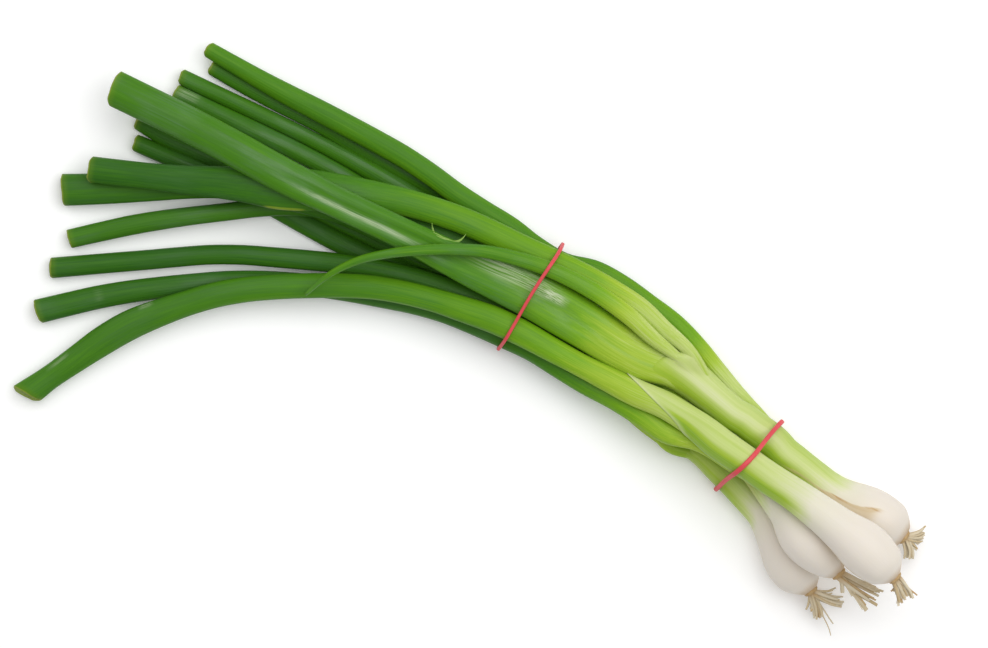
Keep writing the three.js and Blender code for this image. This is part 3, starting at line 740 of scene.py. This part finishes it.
# %% The rings of a stem
def stem_rows(spine, look):
    """Distances along the stem, how deep each ring lies in the wall, how far inside it is, and the
    number of the ring at the rim."""
    rows = np.concatenate([np.array([0, 0.06, 0.2, 0.45, 0.8, 1.2, 1.8]) * MM,
                           np.arange(2.6 * MM, spine.length, STEM_STEP)])
    back = spine.length - np.arange(0, SHEATH_DEPTH, STEM_STEP)
    s = np.concatenate([rows, [spine.length], back])[:, None]
    lean = look["slant"] * np.cos(theta - math.radians(look["turn"])) + look.get("ahead", 0)
    s = s + lean * MM * rise(s, spine.length - SLANT_REACH, spine.length)
    s[len(rows)] += 0.2 * MM  # the middle of the rim stands out a little
    deeper = np.linspace(0, 1.4 * MM, len(back))  # the wall thickens out of sight
    wall = np.concatenate([np.zeros(len(rows)), [SHEATH / 2], SHEATH + deeper])
    inside = np.concatenate([np.zeros(len(rows) + 1), [0.2], np.ones(len(back) - 1)])
    return s, wall[:, None], inside[:, None], len(rows)


# %% How the mouth closes round its leaves
def wrap_tables(key, spine):
    """How far the skin reaches round the leaves, at even steps through the mouth of a stem: first
    where it lies over them like a film, then where it has sunk inside them."""
    leaves = [lead.at(np.arange(0, lead.length, MM)) for leaf, (lead, _, beside) in TUCKED.items()
              if leaf[0] == key and not beside]
    places = np.arange(spine.length - WRAP_REACH, spine.length + 20 * MM, 1 * MM)
    line = spine.at(places)
    flush = STEM_LOOKS[key]["flush"]
    film, sunk = [0 * theta[0]], [0 * theta[0]]
    for i in range(1, len(places)):
        over = ovals_at(line, i, leaves, -0.15 * MM if flush else 0)
        under = ovals_at(line, i, leaves, FLUSH)
        if over is None:  # no leaf here: as in the ring before
            film.append(film[-1])
            sunk.append(sunk[-1])
            continue
        loop, outline = film_round(over), outline_round(over)
        held = TIGHT * loop + (1 - TIGHT) * np.maximum(outline, 0.6 * loop)
        film.append(smoothed(held, 4) + (0 if flush else SHEATH + SHEATH_LIFT))
        sunk.append(np.maximum(outline_round(under), 0.05 * loop))
    return places, np.array(film), np.array(sunk)


# %% One stem
def stem_piece(key):
    look, spine = STEM_LOOKS[key], STEMS[key]
    random = np.random.default_rng(1 + "abcd".index(key))
    s, wall, inside, rim = stem_rows(spine, look)
    line = spine.at(s)
    phase = random.uniform(0, 2 * np.pi, 3)
    lumps = waves(theta, s, phase, (0.012, 2, 30), (0.008, 3, -21), (0.004, 7, 40))
    rounded = 0.8 + 0.2 * np.sqrt(1 - (1 - np.clip(s / ROUNDED, 0, 1)) ** 2)
    own = rounded * (1 + lumps) / np.hypot(np.cos(theta) / line["half_width"],
                                           np.sin(theta) / line["half_thick"])
    places, *tables = wrap_tables(key, spine)
    film, sunk = (np.stack([np.interp(s[:, j], places, table[:, j]) for j in range(STEM_SIDES)], 1)
                  for table in tables)
    ending = rise(s, s[rim - 1] - SINKING, s[rim - 1]) if look["flush"] else 0
    held = film + (sunk - film) * ending
    if look["flush"]:
        held = held * (1 - SHUT * rise(s, s[rim - 1] - 0.55 * SINKING, s[rim - 1]))
    closing = rise(s, spine.length - WRAP_REACH, spine.length - MOUTH)
    target = own + (np.maximum(held, look["drawn"] * (1 - SUNK * ending) * own) - own) * closing
    radius = larger(target, held, 0.5 * MM) - wall
    points = placed(line, radius * np.cos(theta), radius * np.sin(theta))
    # three small rings close the end at the roots with a shallow dish
    start, inward = points[:1].mean(1, keepdims=True), line["along"][0, 0] * MM
    dish = [start + (points[:1] - start) * share + inward * depth
            for share, depth in ((0.25, 0.0), (0.6, 0.15), (0.85, 0.05))]
    points = np.concatenate(dish + [points])
    s, inside = (np.concatenate([np.repeat(fact[:1], len(dish), 0), fact]) for fact in (s, inside))
    x = s / MM
    # a flush stem has no edge in sight, so its tip counts as far off everywhere
    tip = 20 * MM if look["flush"] else np.maximum(s[len(dish) + rim][None] - s, 0)
    facts = dict(grain=(np.cos(theta) * 8, np.sin(theta) * 8, x), growth=(x, tip / MM, inside),
                 green=stem_green(key, x, theta), skin=papery_and_crease_tint(key, x))
    return tube(f"stem_{key}", points, facts, STEM)


for key in STEMS:
    stands_for(stem_piece(key), f"onion_{key}_bulb_and_stem")

# %% [markdown]
# ## Leaves
# A leaf is a hollow tube, more or less flattened, with broad ribs along it. It ends in a cut that is
# never quite square. At the cut the wall turns over a thin rim and runs back down the inside.

# %% What each leaf looks like
# `green` is read at the base, the middle and the tip. `frost` is the strength of the waxy bloom,
# `dent` how far a flattened leaf sinks along its middle, and each spot is (mm from the base,
# degrees round, half its length in mm, half its width in degrees, strength). A spot is a pale
# streak that is partly scuffed wax and partly painted highlight. `yellow` places are
# thin, torn or drying. `corner` is how far the corners of the cut are rounded off, as a share of
# the half width. `cut` is its slope across the leaf and through it, where it isn't left to chance.
LEAF_LOOKS = {
    "a1": dict(green=(0.42, 0.90, 0.97), frost=0.2),
    "a2": dict(green=(0.42, 0.92, 0.89), frost=0.5, corner=0.1),
    "a3": dict(green=(0.42, 0.90, 0.92), frost=0.2),
    "a4": dict(green=(0.42, 0.92, 0.94), frost=0.3),
    "b1": dict(green=(0.42, 0.94, 0.93), frost=0.2, corner=0.08),
    "b2": dict(green=(0.42, 0.88, 0.88), frost=0.6, corner=0.32),
    "b3": dict(green=(0.42, 0.84, 0.90), frost=0.7, spots=[(236, 60, 4, 40, 0.4)]),
    "c1": dict(green=(0.40, 0.74, 0.86), frost=0.15, cut=(0.45, -0.28),
               spots=[(234, 52, 4, 10, 0.25), (197, 38, 2, 12, 0.25)]),
    "c2": dict(green=(0.46, 0.94, 0.96), frost=0.4, spots=[(229, 80, 0.8, 40, 0.13)]),
    "d1": dict(green=(0.46, 0.76, 0.78), frost=0.0, corner=0.28),
    "d2": dict(green=(0.46, 0.90, 0.90), frost=0.2),
    "d3": dict(green=(0.46, 0.80, 0.84), frost=0.9, dent=0.45, corner=0.14,
               spots=[(66, 62, 14, 24, 0.7), (50, 70, 4, 12, 0.8), (124, 104, 22, 10, 0.5)]),
    "d4": dict(green=(0.37, 0.70, 0.97), frost=0.2, yellow=[(160, 168, 7, 17, 0.9)]),
    "d5": dict(green=(0.46, 0.78, 0.74), frost=0.7),
}
LEAF_SIDES = 80
LEAF_STEP = 2.2 * MM
LEAF_WALL = 0.55 * MM
LEAF_HOLLOW = 26 * MM  # how far the wall runs back inside
RIB = 0.02 * MM  # how far the ribs stand out
STEM_GREEN = 14  # up to so many mm from its base a leaf has the colour of its stem
OWN_GREEN = 42  # from so many mm on it has its own
turns = circle(LEAF_SIDES)


# %% The rings of a leaf
def leaf_rows(spine, pointed):
    """Distances along a leaf, how deep each ring lies in the wall and how far inside it is. A
    pointed leaf has no hollow end."""
    rows = np.append(np.arange(0, spine.length - 0.3 * MM, LEAF_STEP), spine.length)
    if pointed:
        return rows[:, None], 0, 0
    back = spine.length - np.array([0.0, 0.02, 0.1, 0.3, 0.6, 1.0]) * LEAF_HOLLOW
    s = np.concatenate([rows, [spine.length + 0.25 * MM], back])
    wall = np.concatenate([0 * rows, [LEAF_WALL / 2], np.full(len(back), LEAF_WALL)])
    inside = np.concatenate([0 * rows, [0.5], np.ones(len(back))])
    return s[:, None], wall[:, None], inside[:, None]


# %% Spots that are worn and partly painted highlight, and the colour of the foot
def spot_strength(spots, x):
    """How strongly a list of spots marks the skin, from 0 to 1. The worn spots are partly painted
    highlight.
    """
    total = 0 * x
    for place, angle, length, spread, strength in spots:
        off = np.degrees(np.angle(np.exp(1j * (turns - math.radians(angle)))))
        total = total + strength * np.exp(-((x - place) / length) ** 4 - (off / spread) ** 4)
    return total


def as_its_stem(key, points, x, green):
    """Makes the foot of a leaf the same colour as the skin of the stem it runs out of."""
    stem = STEMS[key].at(np.arange(0, STEMS[key].length + 40 * MM, MM))
    foot = np.argwhere(x[:, 0] < OWN_GREEN + 2).ravel()
    near = points[foot].reshape(-1, 3)
    k = np.linalg.norm(near[:, None] - stem["middle"][None], axis=-1).argmin(1)
    off = near - stem["middle"][k]
    around = np.arctan2((off * stem["upward"][k]).sum(1), (off * stem["across"][k]).sum(1))
    there = stem_green(key, k.astype(float), around).reshape(green[foot].shape)
    green[foot] += (there - green[foot]) * fall(x[foot], STEM_GREEN, OWN_GREEN)
    return green


# %% One leaf
def leaf_piece(key):
    look = LEAF_LOOKS[key]
    random = np.random.default_rng(11 + list(LEAVES).index(key))
    spine, tuck, _ = TUCKED[key]
    pointed = spine.half_width[-1] < 1 * MM
    s, wall, inside = leaf_rows(spine, pointed)
    phase = random.uniform(0, 2 * np.pi, 6)
    slope, tilt = random.uniform(-0.1, 0.1), random.uniform(-0.14, 0.06)
    slope, tilt = look.get("cut", (slope, tilt))
    line = spine.at(s)
    half_w, half_t = line["half_width"], line["half_thick"]
    lumps = 1 + waves(turns, s, phase, (0.020, 2, 60), (0.014, 3, -45), (0.006, 5, 25))
    x = (s - tuck) / MM
    ribs = RIB * np.cos(24 * turns + 0.8 * np.sin(3 * turns + phase[3]))
    ribs = ribs * np.clip(half_w / (3 * MM), 0, 1) * rise(x, 4, 24)
    dent = look.get("dent", 0) * rise(x, 20, 60) * fall(x, 130, 175)
    sunk = 1 - dent * np.exp(-((np.cos(turns - 0.15 * np.sin(x / 17)) / 0.45) ** 2))
    side = (half_w * lumps + ribs - wall) * np.cos(turns)
    up = (half_t * lumps * sunk + ribs - wall) * np.sin(turns)
    cut = rise(s, spine.length - 12 * MM, spine.length)
    corner = look.get("corner", 0.2) * np.cos(turns) ** 6 * (1 - 0.4 * np.cos(turns))
    ahead = cut * ((slope * np.cos(turns) - corner) * half_w + tilt * half_t * np.sin(turns)
                   + 0.09 * MM * np.sin(4 * turns + phase[4])
                   + 0.03 * MM * np.sin(9 * turns + phase[5]))
    points = placed(line, side, up) + line["along"] * ahead[..., None]
    base, middle, tip = look["green"]
    green = base + (middle - base) * rise(x, -5, 88) + (tip - middle) * rise(x, 80, 200)
    green = green + 0 * turns
    if STEM_LOOKS[key[0]]["flush"]:
        green = as_its_stem(key[0], points, x, green)
    to_tip = 20 if pointed else np.abs(spine.length - s) / MM
    wear = look["frost"], spot_strength(look.get("spots", []), x), spot_strength(look.get("yellow", []), x)
    facts = dict(grain=(side / MM, up / MM, s / MM), growth=(s / MM, to_tip, inside), green=green,
                 wear=wear)
    return tube(f"{key[0]}_green_leaf_{key[1]}", points, facts, LEAF)


# %% [markdown]
# ## A torn edge
# One broad leaf, d4, is torn along its lower edge, where a few fibres stand off it. They could be
# cut out of the leaf, but strips about a millimetre wide are easier to lay beside it: each is a
# short thin tube along a few points, with the leaf's own material, joined to the leaf's mesh.

# %% Torn slivers along the edge of one leaf
SLIVERS = [  # points (x, y, z) in millimetres, and the greatest half width
    ([(-40.8, 41.7, 23.7), (-38.2, 41.6, 23.4), (-35.5, 41.6, 23.1), (-33.0, 41.7, 22.7),
      (-31.2, 42.7, 21.8), (-30.2, 44.4, 20.7), (-29.8, 46.2, 20.1)], 0.33),
    ([(-42.9, 45.4, 17.7), (-42.1, 43.8, 20.0), (-41.2, 42.6, 22.4), (-40.2, 41.4, 23.7),
      (-39.7, 40.6, 24.1)], 0.25),
    ([(-41.0, 41.0, 23.9), (-38.5, 40.8, 23.8), (-36.0, 41.0, 23.5), (-33.6, 41.8, 22.8)], 0.6),
]


def sliver(number):
    """A thin curled strip along its own short spine."""
    points, broad = SLIVERS[number]
    path = np.array(points) * MM
    width = broad * MM * np.array([0.5] + [1.0] * (len(points) - 2) + [0.12])
    spine = Spine(path, width, 0.12 * MM + 0 * width)
    s = np.linspace(0, spine.length, 28)[:, None]
    turn = circle(16)
    line = spine.at(s)
    ragged = 1 + 0.35 * np.sin(s / (0.9 * MM) + 2 * number) * np.sin(s / (2.3 * MM))
    side = line["half_width"] * ragged * np.cos(turn)
    up = line["half_thick"] * np.sin(turn) + 0.25 * side**2 / MM
    facts = dict(grain=(side / MM, up / MM, s / MM), growth=(60, 20, 0), green=0.62,
                 wear=(0, 0.3, 0.3))
    return tube(f"sliver_{number}", placed(line, side, up), facts, LEAF)


def joined(name, pieces):
    """One piece made of several meshes with the same facts and material."""
    with bpy.context.temp_override(active_object=pieces[0], selected_editable_objects=pieces):
        bpy.ops.object.join()
    pieces[0].name = name
    return pieces[0]


# %% All the leaves
for key, node in LEAVES.items():
    piece = leaf_piece(key)
    if key == "d4":
        piece = joined(piece.name, [piece] + [sliver(number) for number in range(len(SLIVERS))])
    stands_for(piece, node)

# %% [markdown]
# ## Rubber bands
# Each band is a flat loop stretched tight round the bunch. Its solid is a closed loop of rings with
# four corners. We walk the same loop with a finer, rounded section.

# %% The loop of a band
BAND_CORNERS = 4  # points in each ring of the solid band
BAND_STEPS = 300  # rings round the loop
BAND_SECTION = 20  # points in each of them
BAND_WIDTHS = {"rubber_band_at_leaves": 1.3 * MM, "rubber_band_at_stems": 1.7 * MM}
BAND_THICK = 1.25 * MM
SNUG = 0.6 * MM  # how far a band bites into the soft leaves


def loop_of(node):
    """Middles of a band's rings in order round the loop, and the way across its width."""
    mesh = merged(node)
    points = np.array([v.co for v in mesh.verts])
    mesh.free()
    centre = points.mean(0)
    across = np.linalg.svd(points - centre, full_matrices=False)[2][-1]
    around = unit(np.cross(across, UP))
    angle = np.arctan2((points - centre) @ UP, (points - centre) @ around)
    rungs = points[np.argsort(angle)].reshape(-1, BAND_CORNERS, 3)
    return rungs.mean(1), across


# %% [markdown]
# ## Rubber
# The bands are dull red rubber, a little cloudy, with paler dust on it. Two noises drawn out along
# the band give the clouds and the dust, and the dust also makes the surface rough. Some light is
# let into the rubber, which softens its shadows.

# %% Rubber
def rubber_material():
    shader = Shader("rubber_red")
    grain = shader.fact("grain")
    cloud = shader.streaks(grain, 0.15, 0.7, 3)
    dust = shader.streaks(grain, 0.6, 6, 3, 0.6)
    colour = shader.mix(cloud, (0.56, 0.035, 0.045), (0.78, 0.075, 0.09))
    colour = shader.mix(dust.ramp(0.55, 0.8) * 0.25, colour, (0.86, 0.26, 0.27))
    return shader.finish(Base_Color=colour, Roughness=0.42 + dust * 0.2,
                         Normal=shader.bump(dust, 0.25, 0.08 * MM), Subsurface_Weight=0.08,
                         Subsurface_Radius=(0.8 * MM, 0.2 * MM, 0.2 * MM), Subsurface_Scale=1.0)


RUBBER = rubber_material()
print("rubber", len(RUBBER.node_tree.nodes), "nodes")


# %% One band
def band_piece(node):
    middles, across = loop_of(node)
    middles = np.vstack([middles, middles[:1]])
    steps = np.linalg.norm(np.diff(middles, axis=0), axis=1)
    stops = np.concatenate([[0], np.cumsum(steps)])
    wrapped = np.concatenate([stops[-4:-1] - stops[-1], stops, stops[1:4] + stops[-1]])
    again = np.vstack([middles[-4:-1], middles, middles[1:4]])
    s = np.linspace(0, stops[-1], BAND_STEPS, endpoint=False)
    line = eased(wrapped, again, s)
    ahead = unit(np.roll(line, -1, 0) - np.roll(line, 1, 0))
    outward = unit(np.cross(ahead, across))
    outward = outward * np.sign(np.sum(outward * (line - line.mean(0))))
    line = line - outward * SNUG
    turn = circle(BAND_SECTION)
    bend = s[:, None] / MM
    corner = (np.abs(np.cos(turn)) ** 3 + np.abs(np.sin(turn)) ** 3) ** (-1 / 3)
    wide = BAND_WIDTHS[node] / 2 * corner * np.cos(turn) * (1 + 0.05 * np.sin(bend / 9))
    thick = BAND_THICK / 2 * corner * np.sin(turn) * (1 + 0.06 * np.sin(bend / 7 + 1))
    sway = 0.25 * MM * np.sin(2 * np.pi * s / stops[-1] * 3)[:, None, None]
    rings = line[:, None] + across * (wide[..., None] + sway) + outward[:, None] * thick[..., None]
    facts = dict(grain=(wide / MM, thick / MM, bend))
    return tube(node.replace("rubber_", ""), rings, facts, RUBBER, looped=True)


for node in BAND_WIDTHS:
    stands_for(band_piece(node), node)

# %% [markdown]
# ## Roots
# Each root plate carries locks of trimmed roots, like short locks of straw. The strands of a lock
# start side by side on the plate and fan out. This repeats along a path, so Geometry Nodes make it:
# one guide line for each lock goes in, and the tree copies it many times, shifts each copy sideways
# more and more towards its end, gives it a wave and a flat section, and trims it at random.

# %% Guide lines
ROOT_LOCKS = {  # reach from the plate, fan, strands and strand width, in millimetres
    "a": [((12.7, 1.3, -1), 1.9, 12, 1.2), ((8.3, 4.2, 0), 0.8, 3, 0.9),
          ((7.1, -8.4, -1.5), 2.1, 12, 1.2), ((2.1, -7.8, -1), 1.1, 5, 1),
          ((13.7, -12.5, -3), 0.3, 1, 0.6), ((14.2, -9.2, -2.5), 0.3, 1, 0.6)],
    "b": [((17.8, -1.9, -2), 2.9, 17, 1.35), ((16.9, -8.9, -3), 0.6, 3, 1.3),
          ((8.5, -5.3, -1), 1, 5, 1.1), ((4.5, -5.5, -1), 1, 4, 0.9), ((16.2, -11.2, -3), 0.2, 1, 0.5)],
    "c": [((7.2, -6.4, -2), 2.8, 17, 1.3), ((9.8, -2.6, -1), 0.6, 3, 0.9),
          ((4.7, -10, -2), 0.3, 1, 0.7), ((0.2, -5.5, -1), 0.6, 3, 0.9)],
    "d": [((6.5, 5.7, 0), 1.5, 8, 1.1), ((6.9, 2.6, 0), 1.3, 7, 1.1), ((6.5, -1.9, -1), 1, 5, 0.9),
          ((5, -7, -2), 1.8, 11, 1.15)],
}
PLATE_GAP = 0.2 * MM  # how far outside the bulb's end the strands start
STRAND_FACTS = {"fan": "FLOAT", "strands": "INT", "width": "FLOAT", "sideways": "FLOAT_VECTOR"}


def root_guides(key):
    """One poly line for each lock, with its fan, strand count and strand width as facts."""
    foot = STEMS[key].at(0.0)
    start = foot["middle"] - foot["along"] * PLATE_GAP
    points, edges, facts = [], [], []
    for reach, fan, strands, width in ROOT_LOCKS[key]:
        reach = np.array(reach) * MM
        for step, share in enumerate((0.0, 0.25, 0.6, 1.0)):
            sag = -UP * 0.6 * MM * math.sin(share * math.pi / 2)
            lead = -foot["along"] * 1.2 * MM * math.sin(share * math.pi)
            points.append(start + reach * share + lead + sag)
            facts.append((fan * MM, strands, width * MM, unit(np.cross(UP, reach))))
            if step:
                edges.append((len(points) - 2, len(points) - 1))
    mesh = mesh_of(f"root_guides_{key}", points, [], edges)
    for (fact, kind), values in zip(STRAND_FACTS.items(), zip(*facts)):
        remember(mesh, fact, np.array(values), kind)
    return linked(mesh.name, mesh)


# %% A small builder for Geometry Nodes
class Growth(Nodes):
    def __init__(self, name, inputs):
        super().__init__(bpy.data.node_groups.new(name, "GeometryNodeTree"))
        for label, kind in {"Geometry": "Geometry", **inputs}.items():
            self.tree.interface.new_socket(label, in_out="INPUT", socket_type="NodeSocket" + kind)
        self.tree.interface.new_socket("Geometry", in_out="OUTPUT",
                                       socket_type="NodeSocketGeometry")
        sockets = self.tree.nodes.new("NodeGroupInput").outputs
        self.inputs = {socket.name: Value(self, socket) for socket in sockets}

    def step(self, kind, geometry, settings=None, **sockets):
        """A node that changes the geometry, with `Fill_Caps` for the socket Fill Caps."""
        named = {key.replace("_", " "): value for key, value in sockets.items()}
        return self.node("GeometryNode" + kind, settings, {0: geometry, **named})

    def vector(self, operation, a, b):
        last = 3 if operation == "SCALE" else 1
        return self.node("ShaderNodeVectorMath", {"operation": operation}, {0: a, last: b})

    def combined(self, x=0.0, y=0.0, z=0.0):
        return self.node("ShaderNodeCombineXYZ", None, {"X": x, "Y": y, "Z": z})

    def stored(self, name):
        return self.node("GeometryNodeInputNamedAttribute", {"data_type": STRAND_FACTS[name]},
                         {"Name": name})

    def random(self, low, high, seed, identity):
        """A random number between low and high for each strand."""
        return self.node("FunctionNodeRandomValue", {"data_type": "FLOAT"},
                         {2: low, 3: high, "ID": identity, "Seed": seed}, output=1)

    def finish(self, geometry):
        self.fill(self.tree.nodes.new("NodeGroupOutput"), {0: geometry})
        return self.tree


# %% The tree that grows roots along the guides
STRAND_POINTS = 14


def roots_tree():
    t = Growth("roots", {"Waviness": "Float", "Flatness": "Float", "Shortest": "Float",
                         "Seed": "Int", "Material": "Material"})
    seed = t.inputs["Seed"]
    curve = t.step("MeshToCurve", t.inputs["Geometry"])
    curve = t.step("CurveSplineType", curve, {"spline_type": "CATMULL_ROM"})
    curve = t.step("ResampleCurve", curve, Count=STRAND_POINTS)
    curve = t.step("DuplicateElements", curve, {"domain": "SPLINE"}, Amount=t.stored("strands"))
    capture = t.tree.nodes.new("GeometryNodeCaptureAttribute")
    capture.domain = "CURVE"
    capture.capture_items.new("INT", "strand")
    t.fill(capture, {"Geometry": curve, "strand": t.node("GeometryNodeInputIndex")})
    curve, strand = (Value(t, capture.outputs[name]) for name in ("Geometry", "strand"))

    # every strand is shifted aside and up, more towards its end, and waves a little
    along = t.node("GeometryNodeSplineParameter")
    fan = t.stored("fan") * (along * 0.65 + 0.55)
    aside = t.random(-1.0, 1.0, seed, strand) * fan
    above = t.random(-0.55, 0.55, seed + 1, strand) * fan
    shift = t.vector("ADD", t.vector("SCALE", t.stored("sideways"), aside), t.combined(z=above))
    wave = t.node("ShaderNodeTexNoise", None, {
        "Vector": t.combined(strand * 3.7, along * 1.6), "Scale": 1.0, "Detail": 1.0}, output=1)
    wave = t.vector("SUBTRACT", wave, (0.5, 0.5, 0.5))
    wave = t.vector("SCALE", wave, t.inputs["Waviness"] * along)
    curve = t.step("SetPosition", curve, Offset=t.vector("ADD", shift, wave))

    # the material reads these two, and then the strands are trimmed at random
    for name, value in {"along": along, "strand": t.random(0.0, 1.0, seed + 3, strand)}.items():
        curve = t.step("StoreNamedAttribute", curve, {"data_type": "FLOAT"}, Name=name, Value=value)
    length = t.random(t.inputs["Shortest"], 1.0, seed + 2, strand)
    curve = t.node("GeometryNodeTrimCurve", {"mode": "FACTOR"}, {"Curve": curve, 3: length})

    # a flat section, twisted and thinner towards the end
    size = t.random(0.7, 1.2, seed + 4, strand) * (along * -0.4 + 1.15)
    curve = t.step("SetCurveTilt", curve, Tilt=t.random(-0.5, 0.5, seed + 5, strand))
    profile = t.node("GeometryNodeCurvePrimitiveCircle", {"mode": "RADIUS"},
                     {"Resolution": 7, "Radius": 0.5})
    profile = t.step("Transform", profile, Scale=t.combined(1.0, t.inputs["Flatness"], 1.0))
    body = t.step("CurveToMesh", curve, Profile_Curve=profile, Scale=t.stored("width") * size,
                  Fill_Caps=True)
    body = t.step("SetMaterial", t.step("RealizeInstances", body), Material=t.inputs["Material"])
    return t.finish(body)


ROOTS_TREE = roots_tree()
print("roots tree", len(ROOTS_TREE.nodes), "nodes")


# %% [markdown]
# ## Dry roots
# Trimmed roots dry to the colour of straw. Some strands are darker than others, and all are brown
# at the foot, where they leave the plate. The tree above gives every point of a strand two facts,
# its place along the strand and a random number for the whole strand, so one material colours each
# strand in its own way.

# %% Dry root
def root_material():
    shader = Shader("onion_root_straw")
    along, strand = shader.fact("along", "Fac"), shader.fact("strand", "Fac")
    place = shader.node("ShaderNodeTexCoord", output=3)
    specks = shader.noise(place, 900, 3, 0.6)
    foot = (1 - along.ramp(0.0, 0.35)) * (0.25 + specks * 0.7)
    colour = shader.tinted(
        shader.mix(strand, (0.70, 0.63, 0.48), (0.52, 0.40, 0.22)),
        (specks.ramp(0.5, 0.75) * 0.4, (0.76, 0.71, 0.60)),
        ((strand + specks * 0.5).ramp(1.1, 1.3) * 0.7, (0.42, 0.20, 0.05)),
        (foot, (0.45, 0.27, 0.10)))
    return shader.finish(Base_Color=colour, Roughness=0.75, Specular_IOR_Level=0.25,
                         Normal=shader.bump(specks, 0.4, 0.1 * MM))


ROOT = root_material()


# %% Grow the roots
def grown(guides, tree, values):
    """Runs a tree on an object and returns the result as a plain mesh."""
    modifier = guides.modifiers.new("grow", "NODES")
    modifier.node_group = tree
    for item in tree.interface.items_tree:
        if item.in_out == "INPUT" and item.name in values:
            modifier[item.identifier] = values[item.name]
    seen = guides.evaluated_get(bpy.context.evaluated_depsgraph_get())
    mesh = bpy.data.meshes.new_from_object(seen)
    guides.modifiers.remove(modifier)
    bpy.data.objects.remove(guides)
    return mesh


# %% The root plate
def root_plate(key):
    """The short brown cushion that the roots grow from."""
    random = np.random.default_rng(ord(key))
    steps = np.array([(2.0, -0.6), (2.6, -0.3), (2.8, 0.2), (2.5, 0.7), (1.9, 1.1), (1.0, 1.3)]) * MM
    turn = circle(40)
    rough = 1 + 0.05 * np.sin(5 * turn + random.uniform(0, 6)) + 0.04 * np.sin(9 * turn)
    radius, depth = steps[:, :1] * rough, steps[:, 1:]
    line = STEMS[key].at(np.zeros((1, 1)))
    rings = placed(line, radius * np.cos(turn), radius * np.sin(turn))
    rings = rings - line["along"] * depth[..., None]
    return tube(f"plate_{key}", rings, dict(along=0.05, strand=0.9), ROOT)


# %% All the roots
for number, key in enumerate(STEMS):
    strands_mesh = grown(root_guides(key), ROOTS_TREE, {
        "Waviness": 1.4 * MM, "Flatness": 0.3, "Shortest": 0.78, "Seed": 40 + 10 * number,
        "Material": ROOT})
    strands = linked(f"strands_{key}", strands_mesh)
    piece = joined(f"roots_{key}", [root_plate(key), strands])
    stands_for(piece, f"onion_{key}_roots")

# %% [markdown]
# ## The table and the light
# A pale table, a broad soft light above and a dim white room. The soft light makes the long pale
# sheen along each leaf.

# %% Table
TABLE = 4.0  # from its middle to each side
TABLE_GAP = 0.2 * MM  # between the bunch and the table

white = Shader("table_white").finish(
    Base_Color=(0.97, 0.97, 0.97, 1), Roughness=0.9, Emission_Color=(1, 1, 1, 1),
    Emission_Strength=0.08)
corners = [(-TABLE, -TABLE, 0), (TABLE, -TABLE, 0), (TABLE, TABLE, 0), (-TABLE, TABLE, 0)]
table_mesh = mesh_of("table", corners, [(0, 1, 2, 3)])
table_mesh.materials.append(white)
table = linked("table", table_mesh)
table.location.z = -TABLE_GAP

# %% Lights
def soft_light(name, place, size, power):
    """A round lamp that faces the bunch."""
    data = bpy.data.lights.new(name, "AREA")
    data.shape = "DISK"
    data.size = size
    data.energy = power
    light = linked(name, data)
    light.location = place
    light.rotation_euler = (-Vector(place)).to_track_quat("-Z", "Y").to_euler()


soft_light("light_above", (0.25, 0.55, 1.5), 2.0, 22.5)
soft_light("light_left", (-1.2, 0.5, 1.2), 0.9, 3)
world = bpy.data.worlds.new("room")
world.use_nodes = True
room = world.node_tree.nodes["Background"].inputs
room["Color"].default_value = (1, 1, 1, 1)
room["Strength"].default_value = 0.42
bpy.context.scene.world = world
bpy.context.scene.view_settings.view_transform = "Standard"
